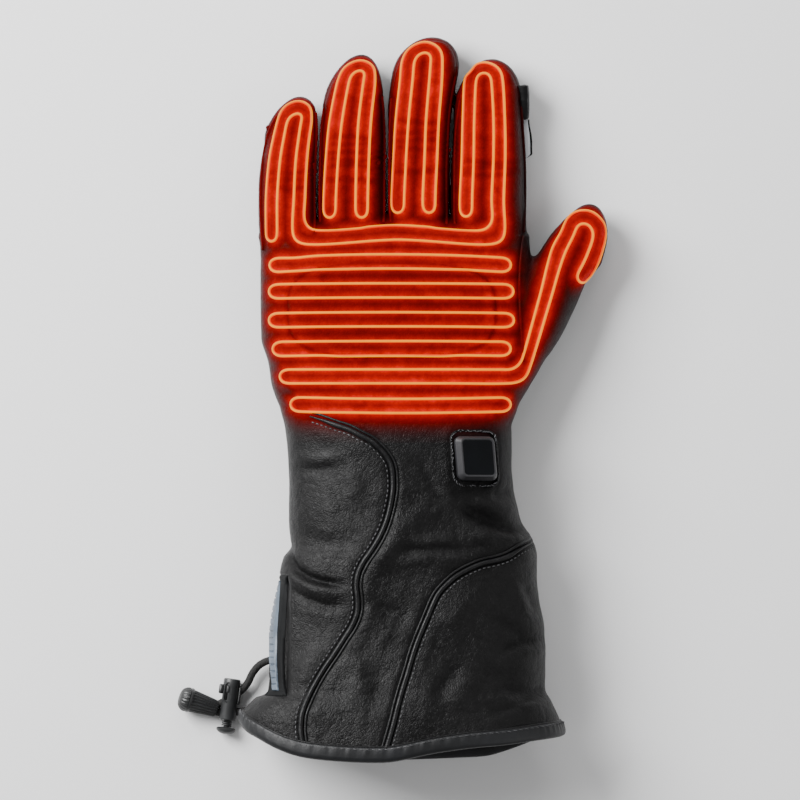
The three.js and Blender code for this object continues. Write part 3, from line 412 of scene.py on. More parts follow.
# The thumb: its lean, its root on the plan, its length and width, and half the width of
# its tip. Its rows hold shares of them: along, left, right.
LEAN = math.radians(20.2)
THUMB_ROOT = (0.387 * PALM, 0.724 * HAND)
THUMB = 82.8
THUMB_WIDE = 27.6
THUMB_TIP_HALF = 0.515
thumb_rows = [
    (-0.06, -0.55, 0.12), (0.085, -0.62, 0.2), (0.17, -0.64, 0.27), (0.32, -0.64, 0.35),
    (0.46, -0.62, 0.39),
    (0.58, -0.58, 0.4), (0.67, -0.5, 0.38),
]
thumb_left = rows([r[0] for r in thumb_rows], [r[1] for r in thumb_rows])
thumb_right = rows([r[0] for r in thumb_rows], [r[2] for r in thumb_rows])
thumb_middle = rows([0.67, 0.78, 0.87, 0.935, 1.0], [0.03, 0.06, 0.085, 0.09, 0.08])
thumb_top = rows(
    [-0.06, 0.085, 0.32, 0.46, 0.58, 0.78, 0.9, 1.0], [1.1, 1.12, 1.06, 1.0, 0.95, 0.88, 0.8, 0.7],
)
thumb_low = rows([-0.1, 0.85, 0.93, 1.0], [0, 0, 0.04, 0.2])


def thumb_place(across, along):
    c, s = math.cos(LEAN), math.sin(LEAN)
    a, l = np.asarray(across) * THUMB_WIDE, np.asarray(along) * THUMB
    return THUMB_ROOT[0] + c * a + s * l, THUMB_ROOT[1] - s * a + c * l


def thumb_share(x, y):
    c, s = math.cos(LEAN), math.sin(LEAN)
    dx, dy = x - THUMB_ROOT[0], y - THUMB_ROOT[1]
    return (dx * c - dy * s) / THUMB_WIDE, (dx * s + dy * c) / THUMB


def thumb_field(x, y, z):
    across, along = thumb_share(x, y)
    in_tip = smoothstep(along, 0.57, 0.71)
    left, right = thumb_left(along), thumb_right(along)
    centre = ((1 - in_tip) * (left + right) / 2 + in_tip * thumb_middle(along)) * THUMB_WIDE
    half = ((1 - in_tip) * (right - left) / 2 + in_tip * THUMB_TIP_HALF) * THUMB_WIDE
    top, low = thumb_top(along) * THUMB_HEIGHT, thumb_low(along) * THUMB_HEIGHT
    belly = low + (top - low) * BELLY
    ahead = np.clip((along - 0.6) / 0.4, 0, 3)
    behind = np.clip((0.02 - along) / 0.2, 0, 3)
    fuller = fullness(ahead)
    return capped(
        across * THUMB_WIDE - centre, half, z - belly, (top - belly) * fuller,
        (belly - low) * DEEPER * fuller, np.maximum(ahead, behind), low, z,
    )


# The forms in the order they are joined: field, box on the plan, and how softly it joins.
PARTS = [
    (finger_field(fingers["little"]), (-86, -38, 231, 320), 0.0),
    (finger_field(fingers["ring"]), (-58, -8, 231, 342), 1.0),
    (finger_field(fingers["middle"]), (-26, 26, 231, 348), 1.0),
    (finger_field(fingers["index"]), (4, 58, 231, 338), 1.0),
    (hand_field, (-95, 80, -30, 262), 3.0),
    (thumb_field, (22, 98, 160, 272), 5.0),
]
FAR = 30.0


def union(values, fresh, k):
    return soft_min(values, fresh, k) if k else np.minimum(values, fresh)


def field_at(p):
    x, y, z = p[:, 0], p[:, 1], p[:, 2]
    out = np.full(len(p), FAR)
    for shape, (x0, x1, y0, y1), k in PARTS:
        near = (x > x0) & (x < x1) & (y > y0) & (y < y1)
        if near.any():
            out[near] = union(out[near], shape(x[near], y[near], z[near]), k)
    return out


def slope(p, reach=0.15):
    out = np.empty_like(p)
    for k in range(3):
        nudge = np.zeros(3)
        nudge[k] = reach
        out[:, k] = (field_at(p + nudge) - field_at(p - nudge)) / (2 * reach)
    return out


def surface_net(pitch, level, low, high):
    """Quads of the surface where the field equals level, on a grid of step pitch."""
    axes = [np.arange(low[k], high[k] + pitch, pitch) for k in range(3)]
    X, Y, Z = axes[0][:, None, None], axes[1][None, :, None], axes[2][None, None, :]
    values = np.full([len(a) for a in axes], FAR)
    for shape, (x0, x1, y0, y1), k in PARTS:
        i0, i1 = np.searchsorted(axes[0], [x0, x1])
        j0, j1 = np.searchsorted(axes[1], [y0, y1])
        if i1 > i0 and j1 > j0:
            block = values[i0:i1, j0:j1]
            values[i0:i1, j0:j1] = union(block, shape(X[i0:i1], Y[:, j0:j1], Z), k)
    values -= level
    inside = values < 0
    count = np.zeros([n - 1 for n in values.shape], np.int8)
    for dx in (0, 1):
        for dy in (0, 1):
            for dz in (0, 1):
                count += inside[dx : dx + count.shape[0], dy : dy + count.shape[1], dz : dz + count.shape[2]]
    cells = np.argwhere((count > 0) & (count < 8))
    number = np.full(count.shape, -1, np.int64)
    number[tuple(cells.T)] = np.arange(len(cells))
    total = np.zeros((len(cells), 3))
    hits = np.zeros(len(cells))
    for axis in range(3):
        others = [k for k in range(3) if k != axis]
        for u in (0, 1):
            for v in (0, 1):
                a = cells.copy()
                a[:, others[0]] += u
                a[:, others[1]] += v
                b = a.copy()
                b[:, axis] += 1
                fa, fb = values[tuple(a.T)], values[tuple(b.T)]
                cut = (fa < 0) != (fb < 0)
                t = fa / np.where(cut, fa - fb, 1)
                total[cut] += a[cut] + (b - a)[cut] * t[cut, None]
                hits += cut
    verts = np.array([a[0] for a in axes]) + total / hits[:, None] * pitch
    quads = []
    for axis in range(3):
        o1, o2 = [(1, 2), (2, 0), (0, 1)][axis]
        here = [slice(None)] * 3
        here[axis] = slice(0, -1)
        there = [slice(None)] * 3
        there[axis] = slice(1, None)
        a_in, b_in = inside[tuple(here)], inside[tuple(there)]
        edges = np.argwhere(a_in != b_in)
        ok = (edges[:, o1] > 0) & (edges[:, o2] > 0)
        ok &= (edges[:, o1] < values.shape[o1] - 1) & (edges[:, o2] < values.shape[o2] - 1)
        edges = edges[ok]
        corners = []
        for u, v in ((-1, -1), (0, -1), (0, 0), (-1, 0)):
            c = edges.copy()
            c[:, o1] += u
            c[:, o2] += v
            corners.append(number[tuple(c.T)])
        q = np.stack(corners, 1)
        flip = ~a_in[tuple(edges.T)]
        q[flip] = q[flip][:, ::-1]
        quads.append(q)
    quads = np.vstack(quads)
    quads = quads[(quads >= 0).all(1)]
    for _ in range(3):
        g = slope(verts)
        size = np.maximum((g**2).sum(1), 0.04)
        step = -(field_at(verts) - level) / size
        verts += np.clip(step, -0.6, 0.6)[:, None] * g
    return verts, quads


def vertex_normals(points, quads):
    a, b, c, d = (points[quads[:, k]] for k in range(4))
    n = np.cross(c - a, d - b)
    out = np.zeros_like(points)
    for k in range(4):
        np.add.at(out, quads[:, k], n)
    return out / np.maximum(np.linalg.norm(out, axis=1, keepdims=True), 1e-12)


def plan_distance(p, line):
    """Distance from plan points to start line, the side it lies on, and how far along."""
    best = np.full(len(p), 1e9)
    side = np.zeros(len(p))
    along = np.zeros(len(p))
    done = 0.0
    for start, end in zip(line[:-1], line[1:]):
        way = end - start
        length = max(np.hypot(*way), 1e-9)
        share = np.clip(((p[:, 0] - start[0]) * way[0] + (p[:, 1] - start[1]) * way[1]) / length**2, 0, 1)
        away_x, away_y = p[:, 0] - start[0] - share * way[0], p[:, 1] - start[1] - share * way[1]
        distance = np.hypot(away_x, away_y)
        closer = distance < best
        best = np.where(closer, distance, best)
        side = np.where(closer, np.sign(way[0] * away_y - way[1] * away_x), side)
        along = np.where(closer, done + share * length, along)
        done += length
    return best, side, along, done


def within(p, loop):
    """Whether plan points lie inside a closed line."""
    inside = np.zeros(len(p), bool)
    x, y = p[:, 0], p[:, 1]
    after = np.roll(loop, -1, 0)
    for (x0, y0), (x1, y1) in zip(loop, after):
        if y0 == y1:
            continue
        cross = (y0 > y) != (y1 > y)
        inside ^= cross & (x < (x1 - x0) * (y - y0) / (y1 - y0) + x0)
    return inside


# Seams on the plan
def plan(points, step=1.0):
    return catmull([at(*p) for p in points], step)


little_seam = plan([
    (287, 411.5), (306, 415), (320, 419), (338, 425.5), (349, 429), (360.5, 435), (372, 441), (380, 448),
    (387, 456), (391.5, 465), (393.3, 478), (393.3, 489), (391.5, 501), (387, 520), (382, 533), (373, 549),
    (364, 562), (358.4, 574), (357, 586), (358.4, 599), (357.8, 612), (352.7, 625), (343.7, 639),
    (334.8, 653), (324.6, 668), (315.7, 683), (308, 699), (303, 712), (301.6, 727), (303.5, 747),
    (304, 764),
])
thumb_seam = plan([
    (548, 538), (533, 542), (520, 548), (507.6, 555.7), (495, 560), (482, 562.7), (469, 568), (456.5, 575),
    (446, 584), (437.4, 594), (431, 607), (426, 619.5), (419.5, 635), (413, 653), (408, 670.5),
    (403, 686), (398, 704), (394, 720), (386, 748), (381, 764),
])
hem_line = plan([
    (215, 693), (236.5, 709), (239.5, 720), (246, 728.5), (258, 735.5), (277, 745.5), (299, 753),
    (335, 757.5),
    (386, 759), (405.5, 756), (431, 750.5), (469, 745), (507.6, 741.5), (533, 738), (558.6, 734.5),
    (585, 729),
])
hem_under = plan([
    (215, 693), (236.5, 709), (239.5, 720), (246, 728.5), (258, 735.5), (277, 745.5), (299, 753),
    (335, 757.5),
    (386, 760), (420, 759), (457, 757.5), (488, 755.5), (503, 751.5), (517, 746.5), (540, 738),
    (558.6, 734.5),
    (585, 729),
])


def hem_y(x, under=0.0):
    """The hem on the plan; under is 0 on the back and 1 on the palm's side."""
    back = np.interp(x, hem_line[:, 0], hem_line[:, 1])
    palm = np.interp(x, hem_under[:, 0], hem_under[:, 1])
    return back * (1 - under) + palm * under


# The knuckle panel's middle, its half width and half length, and its outline's power.
KNUCKLE = (-14.46, 209.0, 48.5, 22.0)
KNUCKLE_POWER = 3.2
BUTTON_PLACE = (23.3, 140.6)
# The rows of the photograph where the label is let in, and the line that it lies left of.
INSET_ROWS = (697, 573)
INSET_LEFT_OF = -61.0
# Below zero, how deep any fold may go, and the height from which a point beyond the
# skin looks for it.
DEEPEST = -2.8
CLING_HEIGHT = 17.0


def knuckle_share(x, y):
    """1 on the knuckle panel's outline and less inside it."""
    middle_x, middle_y, half_width, half_length = KNUCKLE
    across = np.abs((x - middle_x) / half_width) ** KNUCKLE_POWER
    along = np.abs((y - middle_y) / half_length) ** KNUCKLE_POWER
    return (across + along) ** (1 / KNUCKLE_POWER)


# The heating wire
def half_turn(start, end, ahead, count=7, reach=0.5):
    start, end, ahead = np.array(start), np.array(end), np.array(ahead)
    width = np.hypot(*(end - start))
    angles = np.pi * (np.arange(count) + 1) / (count + 1)
    across = np.outer((1 - np.cos(angles)) / 2, end - start)
    return start + across + np.outer(width * reach * np.sin(angles), ahead)


def closed_loop(first, second, first_turn=(0, -1), second_turn=(0, -1)):
    """Two strands joined at both ends by a half turn towards the given ways."""
    over = half_turn(first[-1], second[0], first_turn)
    return np.vstack([first, over, second, half_turn(second[-1], first[0], second_turn)])


# Length as a share of the middle finger's, width and place across as shares of the palm.
MIDDLE_FINGER = 85
finger_size = {
    "little": (0.682, 0.214, -0.502), "ring": (0.913, 0.251, -0.262),
    "middle": (1, 0.2325, -0.018), "index": (0.886, 0.288, 0.244),
}
# along as a share of the finger's length; centre, outer and inner as shares of its width
OUTER, INNER = 2, 3
finger_wires = {
    "little": [(0, -0.02, 0.325, 0.14), (0.2, -0.02, 0.325, 0.14), (0.49, 0.02, 0.314, 0.132),
               (0.65, 0.07, 0.3, 0.125), (0.81, 0.135, 0.28, 0.115), (0.955, 0.2, 0, 0)],
    "ring": [(0, -0.09, 0.316, 0.142), (0.13, -0.088, 0.316, 0.142), (0.37, -0.065, 0.308, 0.132),
             (0.6, -0.022, 0.296, 0.119), (0.84, 0.068, 0.265, 0.103), (0.955, 0.13, 0, 0)],
    "middle": [(0, -0.07, 0.335, 0.143), (0.12, -0.07, 0.335, 0.143), (0.34, -0.041, 0.335, 0.143),
               (0.55, -0.01, 0.333, 0.136), (0.77, 0.05, 0.324, 0.131), (0.972, 0.12, 0, 0)],
    "index": [(0, -0.09, 0.274, 0.122), (0.13, -0.09, 0.274, 0.122), (0.38, -0.069, 0.272, 0.124),
              (0.62, -0.064, 0.263, 0.121), (0.87, -0.065, 0.237, 0.094), (0.973, -0.06, 0, 0)],
}
# Where each finger's wires end below, and the two strands that join the outer fingers,
# as shares of the hand's length.
wire_ends = {"little": 0.9735, "ring": 1.016, "middle": 1.025, "index": 1.018}
UPPER_CROSSING = 0.986
LOWER_CROSSING = 0.961
PITCH = 6.5
STEP = 0.9
# How far the inner strand turns below the outer one at each tip.
inner_drop = {"little": 5.5, "ring": 4.4, "middle": 4.7, "index": 4.7, "thumb": 6.0}


def tip_arc(left, right, top):
    """Points over a tip, from the left strand to the right one."""
    left, right, top = np.array(left), np.array(right), np.array(top)
    half = (right[0] - left[0]) / 2
    rise = top[1] - left[1]
    start = max(0.0, rise - half * 0.98)
    drift = 0.55 * start / max(rise, 1e-6)
    middle = (left[0] + right[0]) / 2
    middle += (top[0] - middle) * drift
    half *= 0.97 if start > 0 else 1.0
    base, height = left[1] + start, rise - start
    arc = []
    for angle in np.radians([0, 25, 50, 90, 130, 155, 180]):
        x = middle * (1 - math.sin(angle)) + top[0] * math.sin(angle) - half * math.cos(angle)
        arc.append([x, base + height * math.sin(angle)])
    return arc if start > 0.5 else arc[1:-1]


def strand(name, which):
    """A finger's outer or inner strand: its left side, its right side and its tip."""
    length, width, across = finger_size[name]
    length, width, across = length * MIDDLE_FINGER, width * PALM, across * PALM
    table = finger_wires[name]
    tip = table[-1]
    drop = 0 if which == OUTER else inner_drop[name]

    def side(sign):
        line = [[across + (row[1] + sign * row[which]) * width, HAND + row[0] * length] for row in table[:-1]]
        line[0][1] = wire_ends[name] * HAND
        return line

    left, right = side(-1), side(1)
    top = [across + tip[1] * width, HAND + tip[0] * length - drop]
    return left, right, tip_arc(left[-1], right[-1], top)


def double_loop(name):
    left, right, tip = strand(name, OUTER)
    outer = catmull(left + tip + right[::-1], STEP)
    left, right, tip = strand(name, INNER)
    inner = catmull(right + tip[::-1] + left[::-1], STEP)
    return closed_loop(outer, inner)


def crossing(start_x, end_x, y, corner=3.0, rise=1.4):
    """From one strand across the knuckles to another, with rounded corners."""
    aside = math.copysign(corner, end_x - start_x)
    return [
        [start_x, y + corner], [start_x + aside, y], [(start_x + end_x) / 2, y + rise], [end_x - aside, y],
        [end_x, y + corner],
    ]


def joined_loop():
    """The loops of the little and the index finger, which are one wire."""
    little_left, little_right, little_tip = strand("little", OUTER)
    index_left, index_right, index_tip = strand("index", INNER)
    across = crossing(little_right[0][0], index_right[0][0], UPPER_CROSSING * HAND)
    first = catmull(
        little_left + little_tip + little_right[1:][::-1] + across
        + index_right[1:] + index_tip[::-1] + index_left[::-1], STEP)
    index_left, index_right, index_tip = strand("index", OUTER)
    little_left, little_right, little_tip = strand("little", INNER)
    across = crossing(index_right[0][0], little_right[0][0], LOWER_CROSSING * HAND)
    second = catmull(
        index_left + index_tip + index_right[1:][::-1] + across
        + little_right[1:] + little_tip[::-1] + little_left[::-1], STEP)
    return closed_loop(first, second)


def row_loop(along, left, right, arch=0.3, wave=0.0):
    """A loop across the hand's back; arch lowers its ends and wave lifts it at the left."""
    y, half = along * HAND, PITCH / 2
    start, end = left * PALM + half, right * PALM - half
    xs = np.linspace(start, end, 110)
    dip = wave * np.exp(-(((xs - start - 9) / 6) ** 2))
    drop = arch * ((xs - (start + end) / 2) / ((end - start) / 2)) ** 2
    top = np.stack([xs, y + half + dip - drop], 1)
    bottom = np.stack([xs[::-1], y - half - drop[::-1]], 1)
    return closed_loop(top, bottom, (1, 0), (-1, 0))


# along, centre, outer and inner of the thumb's strands as shares of its size
thumb_wires = [
    (0.6, 0.05, 0.355, 0.15), (0.7, 0.07, 0.39, 0.172), (0.8, 0.09, 0.362, 0.158), (0.955, 0.07, 0, 0),
]
# along, outer and inner of the two strands on their way up the thumb
thumb_rise = [(0.104, -0.18, -0.014), (0.22, -0.205, -0.03), (0.335, -0.23, -0.05), (0.45, -0.258, -0.07)]
# the bends from the hand into the thumb and back, in pitches
BEND_OUT = [(-4.6, 0), (-0.92, 0), (-0.15, 0.03), (0.43, 0.48)]
BEND_BACK = [(1.2, 1.46), (0.78, 0.46), (0.22, 0.11), (-0.92, 0), (-4.6, 0)]
BEND_LEAD = 4.6
# The long row that leads to the thumb, as shares of the hand's length and the palm.
THUMB_ROW = dict(upper=0.729, lower=0.7035, turn=0.335, left=-0.53)


def thumb_loop():
    tip, last = thumb_wires[-1], thumb_wires[-2]

    def side(which, sign):
        return [list(thumb_place(row[1] + sign * row[which], row[0])) for row in thumb_wires[:-1]]

    def over(which):
        def flat(across, along):
            return [across * THUMB_WIDE, along * THUMB]

        top = flat(tip[1], tip[0] - (inner_drop["thumb"] / THUMB if which == INNER else 0))
        arc = tip_arc(flat(last[1] - last[which], last[0]), flat(last[1] + last[which], last[0]), top)
        return [list(thumb_place(x / THUMB_WIDE, y / THUMB)) for x, y in arc]

    def bend(table, y):
        return [[THUMB_ROW["turn"] * PALM + x * PITCH, y + rise * PITCH] for x, rise in table]

    upper, lower = THUMB_ROW["upper"] * HAND, THUMB_ROW["lower"] * HAND
    left, lead = THUMB_ROW["left"] * PALM + PITCH / 2, BEND_LEAD * PITCH
    outer_rise = [list(thumb_place(outer, along)) for along, outer, _ in thumb_rise]
    inner_rise = [list(thumb_place(inner, along)) for along, _, inner in thumb_rise]
    first = catmull(
        [[left, upper], [left + lead, upper]] + bend(BEND_OUT, upper) + outer_rise
        + side(OUTER, -1) + over(OUTER) + side(OUTER, 1)[::-1], STEP)
    second = catmull(
        side(INNER, 1) + over(INNER)[::-1] + side(INNER, -1)[::-1] + inner_rise[::-1]
        + bend(BEND_BACK, lower) + [[left + lead, lower], [left, lower]], STEP)
    return closed_loop(first, second, (-math.sin(LEAN), -math.cos(LEAN)), (-1, 0))


wires = {
    "heating_wire_little_and_index": joined_loop(),
    "heating_wire_ring": double_loop("ring"),
    "heating_wire_middle": double_loop("middle"),
    "heating_wire_thumb": thumb_loop(),
    "heating_wire_row_1": row_loop(0.927, -0.568, 0.327, 1.5, -0.5),
    "heating_wire_row_2": row_loop(0.874, -0.57, 0.336, 0.35),
    "heating_wire_row_3": row_loop(0.821, -0.57, 0.338, 0.35),
    "heating_wire_row_4": row_loop(0.768, -0.556, 0.326, 0.2),
    "heating_wire_row_5": row_loop(0.662, -0.49, 0.325, -0.8),
}


def wire_distance(p):
    best = np.full(len(p), 1e9)
    for line in wires.values():
        thin = line[::3]
        for start in range(0, len(thin), 64):
            stretch = thin[start : start + 65]
            low, high = stretch.min(0) - 14, stretch.max(0) + 14
            near = (p[:, 0] > low[0]) & (p[:, 0] < high[0]) & (p[:, 1] > low[1]) & (p[:, 1] < high[1])
            if len(stretch) < 2 or not near.any():
                continue
            distance = plan_distance(p[near], stretch)[0]
            best[near] = np.minimum(best[near], distance)
        closing = np.vstack([thin[-1], thin[0]])
        best = np.minimum(best, plan_distance(p, closing)[0])
    return best


# Folds and seams in the leather
# Lines on the plan: points, depth in millimetres (below zero for a ridge), width.
creases = [
    ([(290, 546), (291.5, 557), (296, 567), (304, 574), (317, 579.5), (332, 583), (346, 585)], 2.0, 2.0),
    ([(285, 566), (294, 580), (308, 587), (325, 590), (340, 590)], -1.3, 3.8),
    ([(283, 578), (293, 587), (305, 596), (318, 602), (330, 605.5), (344, 605)], 1.3, 2.6),
    ([(300, 606), (318, 613), (340, 612)], -0.4, 5.0),
    ([(419, 458), (427, 474), (434, 488), (441, 500)], 0.55, 2.2),
    ([(372, 574), (385, 556), (399, 537), (413, 520), (425, 512)], -1.5, 5.5),
    ([(395, 553), (415, 550), (440, 548), (468, 549), (490, 547)], 0.9, 2.4),
    ([(392, 563), (420, 558), (450, 557), (478, 554)], -0.9, 3.4),
    ([(402, 541), (430, 542), (460, 539)], -0.9, 3.4),
    ([(424, 520), (446, 528), (470, 534)], 0.5, 4.5),
    ([(295, 456), (312, 459), (330, 458), (344, 455)], -0.7, 3.2),
    ([(293, 466), (315, 469), (338, 467)], 0.5, 2.4),
    ([(350, 470), (356, 486), (352, 502)], -0.7, 4.0),
    ([(326, 500), (331, 520), (328, 540)], -0.7, 5.0),
    ([(290, 530), (310, 536), (330, 545)], 0.4, 3.0),
    ([(524, 530), (508, 527), (492, 521), (474, 513), (458, 507)], 2.2, 3.0),
    ([(520, 508), (505, 508), (488, 503), (476, 496)], -1.9, 4.5),
    ([(530, 538), (510, 540), (490, 537), (470, 529)], -1.7, 4.2),
    ([(513, 490), (503, 493), (490, 494)], 1.2, 2.8),
    ([(514, 478), (504, 480), (494, 482)], -0.6, 3.4),
    ([(521, 584), (528, 596), (535, 612)], 0.9, 2.4),
    ([(514, 582), (520, 598), (528, 616)], -0.7, 3.2),
    ([(545, 636), (530, 641), (512, 644), (500, 650)], 1.2, 3.0),
    ([(545, 650), (524, 655), (505, 664)], -0.9, 4.0),
    ([(555, 686), (538, 690), (520, 690), (498, 684)], 1.2, 3.4),
    ([(556, 700), (535, 704), (512, 700), (488, 690)], -0.9, 4.5),
    ([(482, 664), (500, 672), (520, 678)], 0.6, 3.6),
    ([(448, 630), (458, 612), (474, 598), (486, 592)], -1.4, 6.0),
    ([(494, 613), (510, 626), (531, 642)], 1.0, 3.0),
    ([(434, 698), (446, 680), (458, 662)], 0.9, 4.5),
    ([(448, 706), (464, 690), (476, 672)], -0.9, 6.0),
    ([(420, 724), (428, 700), (432, 676)], -0.8, 5.0),
    ([(487, 715), (515, 702), (543, 688)], 0.7, 2.4),
    ([(480, 722), (510, 716), (545, 706)], -0.8, 4.5),
    ([(362, 610), (380, 622), (396, 640)], -0.9, 5.5),
    ([(374, 602), (392, 610), (408, 622)], 0.7, 4.5),
    ([(366, 664), (374, 688), (378, 712)], 0.5, 6.0),
    ([(352, 650), (360, 672), (362, 700)], -0.8, 6.0),
    ([(318, 640), (306, 662), (298, 690)], -0.7, 4.5),
    ([(300, 640), (294, 662), (290, 690)], 0.5, 4.0),
    ([(275, 388), (285, 394), (296, 398)], 0.9, 2.4),
    ([(272, 380), (283, 385), (296, 387)], -0.6, 2.6),
    ([(276, 404), (288, 408), (302, 409)], 0.7, 2.4),
    ([(508, 421), (514, 425), (522, 427)], 0.6, 1.8),
    ([(270, 366), (276, 374), (286, 380)], 0.5, 2.0),
]
# Pleats across the fingers and the puckers at their seams.
pleats = [
    ((323, 380), (137.6, 143.9, 152.5, 159.9, 165.7), 0.6, 1.2),
    ((322, 382), (180,), 0.7, 1.5),
    ((389, 446), (121.5, 131.8, 140.4, 148.6), 0.6, 1.3),
    ((389, 447), (170.8,), 0.7, 1.5),
    ((455, 522), (162, 168, 174), 0.6, 1.3),
    ((264, 312), (172, 180, 187), 0.5, 1.3),
]
puckers = [(316.5, 169, 3.4), (377.5, 163, 3.4), (386, 157, 3.4), (451, 150, 3.6)]


# Seams along the sides of the fingers and down the hand's right side.
finger_seams = [
    [(277, 116), (271, 126), (266.5, 140), (263, 160), (261, 185), (261, 215), (263, 250)],
    [(315, 112), (316, 125), (315.5, 145), (314.5, 165), (313.8, 187), (314, 215), (315, 232)],
    [(324, 108), (321.5, 130), (320.5, 160), (320, 190), (320.5, 222)],
    [(382, 96), (383.5, 120), (384, 150), (383.5, 185), (383.5, 222)],
    [(392, 98), (390.5, 125), (390, 155), (390, 190), (391, 222)],
    [(455, 76), (451.5, 92), (448.5, 115), (447, 140), (446, 165), (446, 200), (446.5, 224)],
    [(460.5, 100), (457, 125), (455.5, 150), (455, 185), (455, 224)],
    [(521.5, 100), (522.5, 122), (524, 146), (525, 170), (525, 205), (524, 232)],
    [(523, 236), (520, 262), (519, 290), (520, 315), (522, 340), (524, 362)],
]


# Each form below returns how far the leather stands out along its normal, in
# millimetres, and how much painted shade darkens its folds, from nothing to 1.
def hump(distance, width):
    return np.exp(-((distance / width) ** 2))


def crease_relief(xy, top):
    out, painted_shade = np.zeros(len(xy)), np.zeros(len(xy))
    for points, depth, width in creases:
        distance, _, along, total = plan_distance(xy, plan(points, 2.0))
        fade = top * np.clip(np.minimum(along, total - along) / (0.3 * total) + 0.25, 0, 1)
        out -= depth * fade * hump(distance, width)
        # Creases that sink in get painted shade along them.
        if depth > 0:
            painted_shade += 0.3 * min(depth, 2.0) * fade * hump(distance, 0.8 * width)
    return out, painted_shade


def pleat_relief(xy, top):
    out, painted_shade = np.zeros(len(xy)), np.zeros(len(xy))
    for (left, right), pleat_rows, depth, width in pleats:
        start, end = at(left, 0)[0], at(right, 0)[0]
        across = np.clip(np.minimum(xy[:, 0] - start, end - xy[:, 0]) / 4, 0, 1)
        for row in pleat_rows:
            y = at(0, row)[1]
            bend = 0.5 * np.sin((xy[:, 0] - start) / 5.0 + y)
            fold = top * across * depth * hump(xy[:, 1] - y - bend, width)
            out -= fold
            # The pleats are darkened with painted shade.
            painted_shade += 0.8 * fold
    for x, row, size in puckers:
        centre_x, centre_y = at(x, row)
        distance = np.hypot(xy[:, 0] - centre_x, (xy[:, 1] - centre_y) * 0.6)
        wave = 1 + np.cos((xy[:, 1] - centre_y) * 2 * math.pi / 2.6)
        out -= 0.5 * top * hump(distance, size) * wave
    return out, painted_shade


def knuckle_relief(xy, upward):
    """The raised knuckle panel with its seam."""
    share = knuckle_share(xy[:, 0], xy[:, 1])
    out = upward * 1.4 / (1 + np.exp((share - 0.97) / 0.018)) - upward * 0.8 * hump(share - 1.0, 0.022)
    # The second value is painted shade along the panel's seam.
    return out, upward * 0.45 * hump(share - 1.0, 0.025)


def seam_relief(xy, top, n):
    """The piped seams, a channel with one side lapped over the other and soft swelling
    beside them, and the seams of the fingers."""
    out, painted_shade = np.zeros(len(xy)), np.zeros(len(xy))
    for line, over, start in ((little_seam, 1.0, 18.0), (thumb_seam, -1.0, 6.0)):
        distance, side, along, _ = plan_distance(xy, line[::2])
        fade = top * np.clip(along / start, 0, 1)
        lapped = fade * (side == over)
        out += fade * (0.3 * hump(distance - 5.5, 3.6) - 0.75 * hump(distance, 1.5))
        out += lapped * (0.2 * hump(distance, 6.0) - 0.4 * hump(distance - 2.6, 0.7))
        # Painted shade along the piped seams.
        painted_shade += 0.8 * fade * hump(distance, 2.2)
    for points in finger_seams:
        line = plan(points, 1.5)
        near = ((xy > line.min(0) - 6) & (xy < line.max(0) + 6)).all(1) & (n[:, 2] > -0.2)
        distance = plan_distance(xy[near], line)[0]
        out[near] -= 0.45 * top[near] * hump(distance, 1.5)
        # Painted shade along the fingers' seams.
        painted_shade[near] += 0.75 * top[near] * hump(distance, 1.7)
    return out, painted_shade


def label_inset(xy, n):
    """The side label is let into the cuff's left side."""
    low_end, high_end = (at(0, row)[1] for row in INSET_ROWS)
    inset = np.clip(np.minimum(xy[:, 1] - low_end, high_end - xy[:, 1]) / 3.0, 0, 1)
    inset *= np.clip((INSET_LEFT_OF - xy[:, 0]) / 3.0, 0, 1)
    return -2.2 * inset * np.clip(-1.6 * n[:, 0], 0, 1)


def side_seam_relief(p, n):
    """Seams along the sides of the fingers, the thumb and the hand: height, depth, width."""
    steep = np.clip(1.4 - np.abs(n[:, 2]) * 1.4, 0, 1)
    in_thumb = (thumb_share(p[:, 0], p[:, 1])[1] > 0.35) & (p[:, 0] > 52)
    in_fingers = (p[:, 1] > HAND + 6) | in_thumb
    in_hand = (p[:, 1] < HAND - 4) & (p[:, 1] > 112)
    out = np.zeros(len(p))
    for where, height, depth, width in (
        (in_fingers, 10.0, 0.55, 0.9), (in_fingers, 17.0, 0.45, 0.9), (in_hand, 14.0, 0.6, 1.0),
    ):
        out -= where * steep * depth * hump(p[:, 2] - height, width)
    return out


def button_swell(xy, upward):
    """The leather swells up to the hole round the control button."""
    aside_x = np.maximum(np.abs(xy[:, 0] - BUTTON_PLACE[0]) - 7.5, 0)
    aside_y = np.maximum(np.abs(xy[:, 1] - BUTTON_PLACE[1]) - 9.5, 0)
    distance = np.hypot(aside_x, aside_y) - 3.4
    out = upward * 1.1 * hump(np.clip(distance, 0, None), 4.0)
    # The second value is painted shade round the hole.
    return out, upward * 0.5 * hump(np.clip(distance - 1, 0, None), 3.0)


def slack_relief(p, top):
    """Broad slackness and fine creasing of soft leather, more of it on the cuff."""
    cuff = np.clip((HAND * 0.6 - p[:, 1]) / 30, 0, 1)
    out = (0.35 + 0.75 * cuff) * noise(p * [1, 0.8, 0.6], 24.0, 1)
    out += (0.1 + 0.12 * cuff) * noise(p, 9.0, 2)
    bent = p + 2.2 * np.stack([noise(p, 6.0, seed) for seed in (5, 6, 7)], 1)
    ridged = 1 - np.abs(noise(bent, 4.2, 3))
    out -= (0.07 + 0.1 * cuff) * np.clip(ridged - 0.72, 0, 1) / 0.28 * top
    ridged = 1 - np.abs(noise(bent * [1, 1.6, 1], 2.6, 4))
    return out - 0.06 * np.clip(ridged - 0.7, 0, 1) / 0.3


